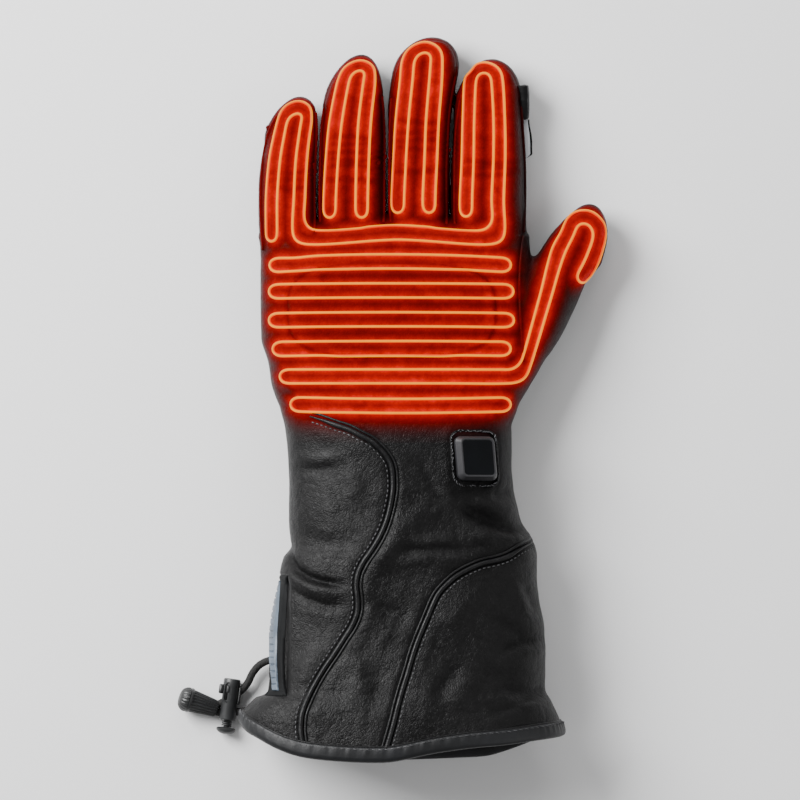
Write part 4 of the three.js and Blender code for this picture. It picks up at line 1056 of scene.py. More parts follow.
def relief(p, n):
    """How far the padded leather stands out or in, and how much painted shade darkens its folds."""
    xy = p[:, :2]
    top = np.clip((n[:, 2] + 0.25) / 0.6, 0, 1)
    upward = np.clip(n[:, 2] * 2.0, 0, 1)
    forms = [
        crease_relief(xy, top), pleat_relief(xy, top), knuckle_relief(xy, upward), seam_relief(xy, top, n),
        button_swell(xy, upward),
    ]
    out = sum(form[0] for form in forms) + label_inset(xy, n) + side_seam_relief(p, n) + slack_relief(p, top)
    on_table = np.clip(p[:, 2] / 2.5, 0, 1)
    return np.maximum(out, DEEPEST) * on_table, np.clip(sum(form[1] for form in forms), 0, 1)


def skin():
    """The leather's outer surface, cut off at the hem."""
    points, faces = surface_net(GRID, 0.0, (-87, -3, -1.2), (101, 338, 68))
    ups = vertex_normals(points, faces)
    pushed, folds = relief(points, ups)
    points = points + ups * pushed[:, None]
    points[:, 2] = np.maximum(points[:, 2], 0.0)
    hem_ys = hem_y(points[:, 0], np.clip(0.5 - ups[:, 2] * 2, 0, 1))
    beyond_hem = points[:, 1] < hem_ys + 1.0
    # folds is the painted shade of the folds, which the skin's pieces carry on.
    return points, faces[~beyond_hem[faces].all(1)], folds


verts, quads, painted_fold_shade = skin()
normals = vertex_normals(verts, quads)
bvh = BVHTree.FromPolygons([tuple(v) for v in verts.tolist()], quads.tolist())


def lay(line, height=120.0, cling=False):
    """A plan line laid on the skin: places and normals. What lies beyond the skin is left
    out, or brought to its nearest place where cling is set."""
    places, ups = [], []
    for x, y in line:
        hit, normal, _, _ = bvh.ray_cast(Vector((x, y, height)), Vector((0, 0, -1)))
        if hit is None and cling:
            hit, normal, _, _ = bvh.find_nearest(Vector((x, y, CLING_HEIGHT)))
        if hit is not None:
            places.append(tuple(hit))
            ups.append(tuple(normal if normal.z > 0 else -normal))
    return np.array(places), np.array(ups)


def evened(values, times, closed=False):
    """Values with their bumps smoothed out; the ends of an open line stay."""
    out = values.copy()
    for _ in range(times):
        fresh = (np.roll(out, 1, 0) + 2 * out + np.roll(out, -1, 0)) / 4
        if not closed:
            fresh[0], fresh[-1] = out[0], out[-1]
        out = fresh
    return out


# Materials
def material(name):
    surface = bpy.data.materials.new(name)
    surface.use_nodes = True
    tree = surface.node_tree
    tree.nodes.clear()
    output = tree.nodes.new("ShaderNodeOutputMaterial")
    shader = tree.nodes.new("ShaderNodeBsdfPrincipled")
    tree.links.new(shader.outputs[0], output.inputs[0])
    return surface, tree, shader


def coords(tree, scale):
    texture = tree.nodes.new("ShaderNodeTexCoord")
    mapping = tree.nodes.new("ShaderNodeMapping")
    mapping.inputs["Scale"].default_value = scale
    tree.links.new(texture.outputs["Object"], mapping.inputs["Vector"])
    return mapping.outputs[0]


def texture_noise(tree, vector, scale, detail=3.0, rough=0.55):
    texture = tree.nodes.new("ShaderNodeTexNoise")
    texture.inputs["Scale"].default_value = scale
    texture.inputs["Detail"].default_value = detail
    texture.inputs["Roughness"].default_value = rough
    tree.links.new(vector, texture.inputs["Vector"])
    return texture.outputs["Fac"]


def math_node(tree, operator, a, b=None, c=None):
    node = tree.nodes.new("ShaderNodeMath")
    node.operation = operator
    for number, value in enumerate((a, b, c)):
        if value is None:
            continue
        if isinstance(value, (int, float)):
            node.inputs[number].default_value = value
        else:
            tree.links.new(value, node.inputs[number])
    return node.outputs[0]


def ramp(tree, value, stops):
    node = tree.nodes.new("ShaderNodeValToRGB")
    band = node.color_ramp
    while len(band.elements) < len(stops):
        band.elements.new(0.5)
    for element, (position, colour) in zip(band.elements, stops):
        element.position = position
        element.color = (*colour, 1) if len(colour) == 3 else colour
    tree.links.new(value, node.inputs[0])
    return node.outputs[0]


def mix_colour(tree, share, a, b, blend="MIX"):
    node = tree.nodes.new("ShaderNodeMix")
    node.data_type = "RGBA"
    node.blend_type = blend
    for socket, value in ((node.inputs[0], share), (node.inputs[6], a), (node.inputs[7], b)):
        if isinstance(value, (int, float)):
            socket.default_value = value
        elif isinstance(value, tuple):
            socket.default_value = (*value, 1)
        else:
            tree.links.new(value, socket)
    return node.outputs[2]


def bump(tree, shader, layers):
    """layers: (height output, strength, distance in metres), coarse first."""
    last = None
    for height, strength, distance in layers:
        node = tree.nodes.new("ShaderNodeBump")
        node.inputs["Strength"].default_value = strength
        node.inputs["Distance"].default_value = distance
        tree.links.new(height, node.inputs["Height"])
        if last is not None:
            tree.links.new(last, node.inputs["Normal"])
        last = node.outputs[0]
    tree.links.new(last, shader.inputs["Normal"])


def attribute(tree, name):
    node = tree.nodes.new("ShaderNodeAttribute")
    node.attribute_name = name
    return node.outputs["Fac"]


def voronoi(tree, vector, scale, feature="F1", random=1.0):
    node = tree.nodes.new("ShaderNodeTexVoronoi")
    node.feature = feature
    node.inputs["Scale"].default_value = scale
    node.inputs["Randomness"].default_value = random
    tree.links.new(vector, node.inputs["Vector"])
    return node.outputs["Distance"]


# Attributes of the skin: ember is how far the leather is tinted red by painted glow, glow how
# brightly it shines with painted glow, fold how deep in a fold it lies as painted shade, and wear how rubbed
# it is.
def bent_coordinates(tree, vector):
    """Coordinates that wander a little, so that no grain runs straight."""
    wander = tree.nodes.new("ShaderNodeTexNoise")
    wander.inputs["Scale"].default_value = 170.0
    wander.inputs["Detail"].default_value = 3.0
    tree.links.new(vector, wander.inputs["Vector"])
    shift = tree.nodes.new("ShaderNodeVectorMath")
    shift.operation = "MULTIPLY_ADD"
    tree.links.new(wander.outputs["Color"], shift.inputs[0])
    shift.inputs[1].default_value = (0.004, 0.004, 0.004)
    tree.links.new(vector, shift.inputs[2])
    return shift.outputs[0]


def leather_light(tree, shader, colour, mottled, broad, network):
    """The painted red glow of the leather over the wires; returns its colour where it is red."""
    red = attribute(tree, "ember")
    # Painted shade in the folds also dims the reflections and the glow.
    unlit = math_node(tree, "MULTIPLY_ADD", attribute(tree, "fold"), -0.75, 1.0)
    # Where the leather glows, its base colour and its reflections are painted red, and it shines with painted
    # glow.
    tint = mix_colour(tree, mottled, (0.02, 0.0004, 0.0002), (0.06, 0.0012, 0.0006))
    sheen = mix_colour(tree, red, (1.0, 1.0, 1.0), (1.0, 0.08, 0.05))
    tree.links.new(sheen, shader.inputs["Specular Tint"])
    level = math_node(tree, "MULTIPLY_ADD", red, -0.13, 0.17)
    tree.links.new(math_node(tree, "MULTIPLY", level, unlit), shader.inputs["Specular IOR Level"])
    core = attribute(tree, "glow")
    stops = [(0.0, (1.0, 0.012, 0.01)), (0.6, (1.0, 0.006, 0.004)), (0.95, (1.0, 0.015, 0.002))]
    tree.links.new(ramp(tree, core, stops), shader.inputs["Emission Color"])
    power = math_node(tree, "MULTIPLY", core, unlit)
    for grain, amount, base in ((mottled, 0.9, 0.55), (broad, 0.7, 0.65), (network, 0.12, 0.88)):
        power = math_node(tree, "MULTIPLY", power, math_node(tree, "MULTIPLY_ADD", grain, amount, base))
    tree.links.new(power, shader.inputs["Emission Strength"])
    return mix_colour(tree, red, colour, tint)


def leather(name, dark, light, roughness, grain, lit=False):
    surface, tree, shader = material(name)
    vector = coords(tree, (1, 1, 1))
    bent = bent_coordinates(tree, vector)
    warp = texture_noise(tree, vector, 120.0, 4.0, 0.6)
    pebble = voronoi(tree, vector, 1500.0, "SMOOTH_F1")
    crackle = voronoi(tree, bent, 520.0, "DISTANCE_TO_EDGE")
    fine = voronoi(tree, bent, 1150.0, "DISTANCE_TO_EDGE")
    network = ramp(tree, crackle, [(0.0, (0, 0, 0)), (0.2, (1, 1, 1))])
    small = ramp(tree, fine, [(0.0, (0, 0, 0)), (0.3, (1, 1, 1))])
    broad = texture_noise(tree, vector, 45.0, 4.0, 0.6)
    mottled = texture_noise(tree, vector, 260.0, 5.0, 0.65)
    patchy = math_node(tree, "MULTIPLY", network, math_node(tree, "MULTIPLY_ADD", mottled, 1.4, -0.1))
    tone = math_node(tree, "MULTIPLY_ADD", mottled, 0.55, math_node(tree, "MULTIPLY", broad, 0.6))
    tone = math_node(tree, "ADD", tone, math_node(tree, "MULTIPLY", attribute(tree, "wear"), 0.5))
    colour = ramp(tree, tone, [(0.35, dark), (0.85, light)])
    colour = mix_colour(tree, 0.2, colour, network, "MULTIPLY")
    # Painted shade: the fold attribute darkens the colour in folds and seams.
    shade = ramp(tree, attribute(tree, "fold"), [(0.0, (1, 1, 1)), (1.0, (0.25, 0.25, 0.25))])
    colour = mix_colour(tree, 1.0, colour, shade, "MULTIPLY")
    if lit:
        colour = leather_light(tree, shader, colour, mottled, broad, network)
    else:
        shader.inputs["Specular IOR Level"].default_value = 0.18
    tree.links.new(colour, shader.inputs["Base Color"])
    rough = math_node(tree, "MULTIPLY_ADD", mottled, 0.2, roughness - 0.2)
    rough = math_node(tree, "MULTIPLY_ADD", broad, 0.2, rough)
    tree.links.new(rough, shader.inputs["Roughness"])
    bump(tree, shader, [
        (warp, 0.1 * grain, 0.0012), (patchy, 0.5 * grain, 0.00022), (small, 0.45 * grain, 0.00016),
        (pebble, 0.3 * grain, 0.00009),
    ])
    return surface


def plastic(name, dark, light, roughness, grain=0.3, scale=900.0, specular=0.5):
    surface, tree, shader = material(name)
    vector = coords(tree, (1, 1, 1))
    fine = texture_noise(tree, vector, scale, 4.0, 0.6)
    broad = texture_noise(tree, vector, 90.0, 3.0)
    tree.links.new(ramp(tree, broad, [(0.3, dark), (0.75, light)]), shader.inputs["Base Color"])
    tree.links.new(math_node(tree, "MULTIPLY_ADD", fine, 0.2, roughness - 0.1), shader.inputs["Roughness"])
    shader.inputs["Specular IOR Level"].default_value = specular
    bump(tree, shader, [(fine, grain, 0.00012)])
    return surface


def woven(name, dark, light, scale=1400.0, roughness=0.8, turn=0.6):
    surface, tree, shader = material(name)
    texture = tree.nodes.new("ShaderNodeTexCoord")
    waves = []
    for angle in (turn, -turn):
        mapping = tree.nodes.new("ShaderNodeMapping")
        mapping.inputs["Rotation"].default_value = (angle, angle * 0.5, angle)
        tree.links.new(texture.outputs["Object"], mapping.inputs["Vector"])
        wave = tree.nodes.new("ShaderNodeTexWave")
        wave.inputs["Scale"].default_value = scale / 6.28
        wave.inputs["Distortion"].default_value = 0.6
        tree.links.new(mapping.outputs[0], wave.inputs["Vector"])
        waves.append(wave.outputs["Fac"])
    weave = math_node(tree, "MULTIPLY", waves[0], waves[1])
    fuzz = texture_noise(tree, texture.outputs["Object"], 700.0, 4.0)
    tone = math_node(tree, "MULTIPLY_ADD", weave, 0.6, math_node(tree, "MULTIPLY", fuzz, 0.4))
    tree.links.new(ramp(tree, tone, [(0.15, dark), (0.8, light)]), shader.inputs["Base Color"])
    tree.links.new(math_node(tree, "MULTIPLY_ADD", fuzz, 0.2, roughness - 0.1), shader.inputs["Roughness"])
    bump(tree, shader, [(weave, 0.5, 0.0003), (fuzz, 0.3, 0.0002)])
    return surface


skin_leather = leather("skin_leather", (0.0012, 0.00115, 0.0012), (0.005, 0.0048, 0.005), 0.43, 1.0, lit=True)
cuff_leather = leather(
    "cuff_leather", (0.0012, 0.00115, 0.0012), (0.0055, 0.0053, 0.0055), 0.44, 1.0, lit=True,
)
palm_leather = leather("palm_leather", (0.002, 0.0019, 0.002), (0.008, 0.0077, 0.008), 0.5, 1.1)
piping_leather = leather("piping_leather", (0.003, 0.003, 0.0033), (0.012, 0.012, 0.0125), 0.36, 0.5)
lining = woven("lining", (0.008, 0.008, 0.009), (0.03, 0.03, 0.033), 900.0, 0.9)
binding_cloth = plastic(
    "binding_cloth", (0.0032, 0.0035, 0.004), (0.0075, 0.008, 0.0095), 0.48, 0.5, 1300.0, 0.34,
)
thread = plastic("thread", (0.015, 0.015, 0.016), (0.075, 0.075, 0.08), 0.5, 0.4, 2500.0)
pale_thread = plastic("pale_thread", (0.03, 0.03, 0.032), (0.16, 0.16, 0.17), 0.55, 0.4, 2500.0)
cap_rubber = plastic("cap_rubber", (0.014, 0.0138, 0.0155), (0.025, 0.0248, 0.028), 0.42, 0.2)
face_plastic = plastic(
    "face_plastic", (0.0012, 0.0015, 0.002), (0.002, 0.0026, 0.0036), 0.32, 0.1, 700.0, 0.12,
)
label_rubber = plastic("label_rubber", (0.055, 0.075, 0.1), (0.1, 0.13, 0.17), 0.45, 0.5, 600.0)
label_edge = plastic("label_edge", (0.003, 0.0032, 0.0035), (0.007, 0.0075, 0.008), 0.65, 0.4, 900.0, 0.1)
wiper_black = plastic("wiper_black", (0.0015, 0.0015, 0.0016), (0.003, 0.003, 0.0032), 0.5, 0.2, 900.0, 0.15)
# The blade's near-white base colour is partly its own pale colour and partly a painted highlight.
wiper_pale_and_highlight = plastic("wiper_pale_and_highlight", (0.5, 0.52, 0.55), (0.68, 0.7, 0.73), 0.35, 0.2)
lock_plastic = plastic("lock_plastic", (0.013, 0.0135, 0.014), (0.024, 0.025, 0.026), 0.42, 0.35, 700.0)
end_rubber = plastic("end_rubber", (0.009, 0.0092, 0.0095), (0.018, 0.0185, 0.019), 0.38, 0.4, 800.0)
cord_cloth = woven("cord_cloth", (0.0025, 0.0025, 0.0025), (0.016, 0.015, 0.0145), 2600.0, 0.8, 0.78)


# The heating wire shines with painted glow, stronger and yellower on the tube's top, where its base colour is
# lighter too.
def wire_glow():
    surface, tree, shader = material("heating_wire")
    crown = attribute(tree, "crown")
    vector = coords(tree, (1, 1, 1))
    ripple = texture_noise(tree, vector, 300.0, 2.0)
    base = ramp(tree, crown, [(0.0, (0.12, 0.004, 0.001)), (1.0, (0.16, 0.04, 0.002))])
    tree.links.new(base, shader.inputs["Base Color"])
    shader.inputs["Specular Tint"].default_value = (1.0, 0.3, 0.05, 1)
    colour = ramp(tree, crown, [(0.5, (1.0, 0.02, 0.0)), (0.78, (1.0, 0.09, 0.0)), (0.97, (1.0, 0.34, 0.0))])
    tree.links.new(colour, shader.inputs["Emission Color"])
    power = math_node(tree, "MULTIPLY_ADD", ripple, 0.3, math_node(tree, "MULTIPLY_ADD", crown, 0.6, 0.6))
    tree.links.new(power, shader.inputs["Emission Strength"])
    tree.links.new(math_node(tree, "MULTIPLY_ADD", ripple, 0.2, 0.3), shader.inputs["Roughness"])
    bump(tree, shader, [(ripple, 0.1, 0.0002)])
    return surface


wire_material = wire_glow()


# The pieces of the glove's skin
def dressed(obj, slot, *nodes, body="glove"):
    """Puts a piece on its body and hides the solids that it stands for; slot is not used."""
    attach(obj, body)
    if nodes:
        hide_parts(*nodes)
    return obj


FAR_SIDE = 140
BELOW_HEM = -60
SIDE_SEAM_HEIGHT = 14.0
face_middles = verts[quads].mean(1)


def beyond_seam(seam, side):
    """Faces beyond a cuff seam, on the little finger's side (-1) or the thumb's (1)."""
    corners = [[seam[-1][0], BELOW_HEM], [side * FAR_SIDE, BELOW_HEM], [side * FAR_SIDE, seam[0][1]]]
    return within(face_middles[:, :2], np.vstack([seam[::2], corners]))


little_area = beyond_seam(little_seam, -1)
thumb_area = beyond_seam(thumb_seam, 1)
middle_area = ~little_area & ~thumb_area
under = face_middles[:, 2] < SIDE_SEAM_HEIGHT

# The painted glow over a wire: its strength, its reach in millimetres and how steeply it ends.
GLOWS = [(0.54, 3.0, 1.6), (0.3, 1.4, 2), (0.05, 7.0, 2)]
GLOW_IN_LOOP = (0.18, 6.0, 2)
# How strongly, how far and how steeply a wire tints the leather's colour red as painted glow.
GLOW_TINT = (1.25, 7.6, 2.2)
FLANK_LOSS = 3.2
KNUCKLE_LOSS = 0.4


def falloff(distance, strength, reach, power):
    return strength * np.exp(-((distance / reach) ** power))


def painted_glow():
    """How far the leather is tinted red by painted glow and how brightly it shines with painted glow. On the
    fingers' flanks both fall off sooner than the plan shows."""
    distance = wire_distance(verts[:, :2]) + FLANK_LOSS * (1 - np.clip(normals[:, 2], 0, 1))
    in_loop = np.zeros(len(verts), bool)
    for line in wires.values():
        in_loop |= within(verts[:, :2], line[::2])
    upward = np.clip((normals[:, 2] + 0.15) / 0.5, 0, 1)
    on_top = np.clip((verts[:, 2] - 9.0) / 8.0, 0, 1) * upward
    bright = sum(falloff(distance, *row) for row in GLOWS) + in_loop * falloff(distance, *GLOW_IN_LOOP)
    share = knuckle_share(verts[:, 0], verts[:, 1])
    bright *= 1 - KNUCKLE_LOSS / (1 + np.exp((share - 0.9) / 0.03))
    bright *= 1 + 0.16 * noise(verts, 5.0, 31) + 0.12 * noise(verts, 2.2, 32)
    return on_top * np.clip(falloff(distance, *GLOW_TINT), 0, 1), on_top * bright


glow_tint, glow = painted_glow()
wear = np.clip(0.5 + 0.5 * noise(verts, 14.0, 21), 0, 1) * 0.25


def skin_piece(name, choose, surface, slot, *nodes):
    used, numbers = np.unique(quads[choose], return_inverse=True)
    # The pieces carry the painted red glow and the painted shade of the folds as attributes.
    obj = mesh_object(name, verts[used], numbers.reshape(-1, 4), surface, attributes={
        "ember": glow_tint[used], "glow": glow[used], "wear": wear[used], "fold": painted_fold_shade[used],
    })
    obj.data.normals_split_custom_set_from_vertices(normals[used].tolist())
    dressed(obj, slot, *nodes)


skin_piece(
    "glove_back", middle_area & ~under, skin_leather, "leather",
    "hand_back", "finger_little", "finger_ring", "finger_middle", "finger_index", "thumb", "knuckle_panel",
)
skin_piece("glove_palm", middle_area & under, palm_leather, "leather", "hand_palm")
skin_piece("little_side_panel", little_area, cuff_leather, "cuff_leather", "cuff_panel_little_side")
skin_piece("thumb_side_panel", thumb_area, cuff_leather, "cuff_leather", "cuff_panel_thumb_side")

LINING_GRID = 2.4
LINING_GAP = 0.9


def lining_piece():
    """The lining, seen through the open cuff."""
    points, faces = surface_net(LINING_GRID, -WALL - LINING_GAP, (-87, -4, -1.2), (101, 338, 68))
    hem_in = hem_y(points[:, 0], (points[:, 2] < 25).astype(float))
    beyond_hem = points[:, 1] < hem_in + 1.0
    faces = faces[~beyond_hem[faces].any(1)][:, ::-1]
    dressed(mesh_object("lining", points, faces, lining), "binding")


lining_piece()

# Wires
WIRE_RADIUS = 0.7
WIRE_SIDES = 12
WIRE_RISE = 0.28
# The rows across the hand lie a little nearer to the hem than in the solids.
ROWS_BELOW = 247
ROWS_DOWN = 0.4


def lit_wire(name, line):
    lowered = line - np.outer(line[:, 1] < ROWS_BELOW, [0, ROWS_DOWN])
    spots, ups = lay(lowered, cling=True)
    ups = unit(evened(ups, 40, True))
    spots = evened(spots, 5, True)
    points, faces = sweep(spots + ups * WIRE_RISE, ups, circle(WIRE_RADIUS, WIRE_SIDES), closed=True)
    # crown runs from 0 under the tube to 1 on its top, where the wire's painted glow is brightest and
    # yellowest.
    angles = (np.arange(WIRE_SIDES) + 0.5) * 2 * math.pi / WIRE_SIDES
    crown = np.tile(np.clip(0.5 + 0.5 * np.sin(angles), 0, 1), len(spots))
    wire = mesh_object(name + "_lit", points, faces, wire_material, attributes={"crown": crown})
    dressed(wire, "heating_wire", name)


for name, line in wires.items():
    lit_wire(name, line)

# Piping and stitches
# A stitch's sections: how far along it they lie and how full they are.
STITCH_SECTIONS = [(-0.5, 0.25), (-0.36, 0.85), (0, 1.0), (0.36, 0.85), (0.5, 0.25)]
STITCH_SIDES = 6


def stitch(place, direction, up, length, width, height, turn=0.0):
    forward = direction / np.linalg.norm(direction)
    out = up / np.linalg.norm(up)
    forward = forward * math.cos(turn) + np.cross(forward, out) * math.sin(turn)
    sideways = np.cross(forward, out)
    rings = []
    for along, size in STITCH_SECTIONS:
        lift = height * (0.2 - 0.7 * abs(along))
        angles = 2 * math.pi * np.arange(STITCH_SIDES) / STITCH_SIDES
        rings.append(
            place + forward * along * length + np.outer(np.cos(angles) * width * size / 2, sideways)
            + np.outer(np.sin(angles) * height * size / 2 + lift, out)
        )
    return stacked(rings)


def stitches(line, ups, pitch, length, width=0.55, height=0.45, turn=0.0):
    along = np.concatenate([[0], np.cumsum(np.linalg.norm(np.diff(line, axis=0), axis=1))])
    forward = tangents(line)
    parts = []
    for distance in np.arange(pitch, along[-1] - pitch / 2, pitch):
        i = min(np.searchsorted(along, distance), len(line) - 1)
        place = np.array([np.interp(distance, along, line[:, k]) for k in range(3)])
        parts.append(stitch(place, forward[i], ups[i], length, width, height, turn))
    return parts


def bare_leather(name, points, faces):
    obj = mesh_object(name, points, faces, piping_leather)
    obj.data.attributes.new("wear", "FLOAT", "POINT")
    return obj


PIPING_RADIUS = 1.2
HEM_BAND = 4.5
# How far from the seam the row of stitches and the folded edge lie.
STITCHES_OUT = 2.5
FOLD_OUT = 1.95


def seam_trim(name, seam, first, side, node_name):
    """The piping on a cuff seam from its point first on, with its folded edge and its
    row of stitches, which lie on the given side."""
    use = seam[first:]
    use = use[use[:, 1] > hem_y(use[:, 0]) + HEM_BAND]
    spots, ups = lay(use)
    ups = unit(evened(ups, 10))
    spots = evened(spots, 3)
    grow = np.clip((np.arange(len(spots)) + 2) / 14.0, 0.3, 1)
    tube = sweep(spots + ups * 0.6, ups, circle(PIPING_RADIUS, 12, 0.95), scale=grow)
    dressed(bare_leather(name, *tube), "piping", node_name)
    forward = tangents(use)
    across = np.stack([-forward[:, 1], forward[:, 0]], 1) * side
    spots, ups = lay(use - across * FOLD_OUT)
    fold = sweep(evened(spots, 2) + ups * 0.15, evened(ups, 6), circle(0.6, 8))
    dressed(bare_leather(name + "_fold", *fold), "piping")
    spots, ups = lay(use + across * STITCHES_OUT)
    ups = evened(ups, 6)
    row = joined(stitches(spots + ups * 0.1, ups, 2.3, 1.5, 0.6, 0.5))
    dressed(mesh_object(name + "_stitches", *row, thread), "piping")


seam_trim("piping_left", little_seam, 11, -1, "piping_little_side")
seam_trim("piping_right", thumb_seam, 8, 1, "piping_thumb_side")

# Knots where the linings are gathered, in the photograph's pixels.
knot_places = [(316, 165), (314.5, 172), (378, 163), (384.5, 157), (449, 150), (446.8, 146), (265, 126)]
KNOT = dict(length=2.8, width=2.2, height=1.8)
WELT_RADIUS = 0.55
WELTS_ABOVE = 10


def finger_welts():
    parts = []
    for points in finger_seams:
        spots, ups = lay(plan(points, 0.9))
        high = spots[:, 2] > WELTS_ABOVE
        spots, ups = spots[high], evened(ups[high], 8)
        parts.append(sweep(evened(spots, 6) + ups * 0.25, ups, circle(WELT_RADIUS, 8)))
    for place in knot_places:
        spots, ups = lay([at(*place)], cling=True)
        parts.append(stitch(spots[0], np.array([0.3, 1.0, 0.0]), ups[0], **KNOT))
    points, faces = joined(parts)
    spread = wire_distance(points[:, :2])
    # The welts carry the painted red glow of the wires near them and a little painted shade all over.
    welts = mesh_object("finger_welts", points, faces, skin_leather, attributes={
        "ember": falloff(spread, 0.9, 8.0, 2), "glow": falloff(spread, 0.3, 4.5, 1.6),
        "wear": np.full(len(points), 0.3), "fold": np.full(len(points), 0.25),
    })
    dressed(welts, "leather")


finger_welts()


# Hem binding
HEM_STEPS = 620
# Where the rays to the rim start, and how flat their fan is.
HEM_CENTRE = (-8.0, 27.0)
HEM_FLAT = 0.45
HEM_PUCKERS = 78
# The band's section from its upper edge round the rim to the inner face: how far above
# the hem, and how far out of the leather.
hem_section = [
    (6.3, 0.05), (6.1, 0.75), (5.6, 1.15), (4.6, 1.3), (3.2, 1.32), (1.6, 1.3), (0.4, 1.1), (-0.5, 0.5),
    (-0.9, -0.6), (-0.8, -1.9), (-0.2, -3.0), (0.9, -3.55), (2.5, -3.7), (4.2, -3.65), (5.4, -3.4),
    (5.6, -2.7),
]


def hem_ring(above, level):
    """A ring of points round the cuff, where rays from its middle reach the given level."""
    angles = np.arange(HEM_STEPS) * 2 * math.pi / HEM_STEPS
    ray_x, ray_z = np.cos(angles), np.sin(angles) * HEM_FLAT
    length = np.hypot(ray_x, ray_z)
    ray_x, ray_z = ray_x / length, ray_z / length

    def points(reach):
        x, z = HEM_CENTRE[0] + ray_x * reach, HEM_CENTRE[1] + ray_z * reach
        return np.stack([x, hem_y(x, np.clip((22 - z) / 12, 0, 1)) + above, z], 1)

    inner, outer = np.zeros(HEM_STEPS), np.full(HEM_STEPS, 110.0)
    for _ in range(26):
        middle = (inner + outer) / 2
        inside = field_at(points(middle)) < level
        inner, outer = np.where(inside, middle, inner), np.where(inside, outer, middle)
    return points((inner + outer) / 2)


def hem_binding():
    rings = np.stack([hem_ring(above, level) for above, level in hem_section], 1)
    rings[:, :, 2] = np.maximum(rings[:, :, 2], 0.02)
    number = np.arange(HEM_STEPS)
    ripple = 0.16 * np.sin(number * 2 * math.pi * HEM_PUCKERS / HEM_STEPS)
    ripple += 0.1 * np.sin(number * 1.7) * np.sin(number * 0.31)
    outward = unit(rings[:, 3] - rings[:, 12])
    for row, share in ((2, 0.6), (3, 1.0), (4, 0.6), (5, 0.3)):
        rings[:, row] += outward * (ripple * share)[:, None]
    rows_in_ring = len(hem_section)
    faces = []
    for i in range(HEM_STEPS):
        here, there = i * rows_in_ring, (i + 1) % HEM_STEPS * rows_in_ring
        faces += [(here + j, here + j + 1, there + j + 1, there + j) for j in range(rows_in_ring - 1)]
    band = mesh_object("hem_binding_cloth", rings.reshape(-1, 3), faces, binding_cloth)
    dressed(recalculated(band), "binding", "hem_binding")
    row = rings[:, 3] * 0.45 + rings[:, 2] * 0.55 + outward * 0.12
    row, ups = np.vstack([row, row[:1]]), np.vstack([outward, outward[:1]])
    sewn = joined(stitches(row, ups, 2.9, 1.9, 0.5, 0.4, 0.35))
    dressed(mesh_object("hem_stitches", *sewn, thread), "binding")
    roll = sweep(rings[:, 0] + outward * 0.2, outward, circle(0.5, 8), closed=True)
    dressed(recalculated(bare_leather("hem_edge_roll", *roll)), "binding")


hem_binding()


# Patches on the sides
def skin_height(x, y):
    hit = bvh.ray_cast(Vector((x, y, 120.0)), Vector((0, 0, -1)))[0]
    return hit.z if hit is not None else 10.0


def side_patch(side, ys, lows, highs, rise, across):
    """A closed patch standing on the glove's left (-1) or right (1) side.

    rise(u, v) is its height over the leather at shares of its length and width."""
    count = len(ys)
    inner = np.zeros((count, across, 3))
    shares = np.linspace(0, 1, across)
    for i, y in enumerate(ys):
        for j, share in enumerate(shares):
            z = lows[i] + (highs[i] - lows[i]) * share
            hit = bvh.ray_cast(Vector((side * 150.0, y, z)), Vector((-side, 0, 0)))[0]
            inner[i, j] = tuple(hit) if hit is not None else inner[i, j - 1]
    for _ in range(4):
        inner[1:-1, 1:-1] += 0.25 * (
            inner[:-2, 1:-1] + inner[2:, 1:-1] + inner[1:-1, :-2] + inner[1:-1, 2:] - 4 * inner[1:-1, 1:-1]
        )
    normal = np.cross(np.gradient(inner, axis=0), np.gradient(inner, axis=1))
    normal *= np.sign(normal[:, :, 0:1]) * side
    normal /= np.linalg.norm(normal, axis=2, keepdims=True)
    u, v = np.meshgrid(np.linspace(0, 1, count), shares, indexing="ij")
    outer = inner + normal * rise(u, v)[:, :, None]
    inner = inner - normal * 0.5
    number = np.arange(count * across).reshape(count, across)
    face = np.stack([number[:-1, :-1], number[1:, :-1], number[1:, 1:], number[:-1, 1:]], 2).reshape(-1, 4)
    rim = np.concatenate([number[:, 0], number[-1, 1:], number[-2::-1, -1], number[0, -2:0:-1]])
    after = np.roll(rim, -1)
    wall = np.stack([rim, after, after + count * across, rim + count * across], 1)
    faces = np.vstack([face[:, ::-1], face + count * across, wall])
    return np.vstack([inner.reshape(-1, 3), outer.reshape(-1, 3)]), faces


def side_piece(name, part, surface, slot, *nodes):
    obj = crisp(mesh_object(name, *part, surface), 50)
    return dressed(recalculated(obj), slot, *nodes)


def plateau(share, low, high):
    """Rises from both ends of a share of the way, between the distances low and high."""
    return smoothstep(np.minimum(share, 1 - share), low, high)


# The label in the photograph's pixels: the rows that it spans, and its two edges as row
# and place across.
LABEL_ROWS = (695, 575)
label_right = [(575, 290), (609, 288.2), (635, 286.6), (660, 286), (686, 287.2), (695, 288.4)]
label_left = [(575, 279.5), (590, 276), (605, 273), (620, 271.5), (660, 271.3), (675, 272.5), (695, 275.5)]
LABEL_RIBS = 17


def edge_at(ys, edge):
    """Where an edge of the label lies at heights on the plan."""
    places = [at(across, row) for row, across in edge[::-1]]
    return np.interp(ys, [place[1] for place in places], [place[0] for place in places])


def skin_heights(xs, ys):
    return np.array([skin_height(x, y) for x, y in zip(xs, ys)])


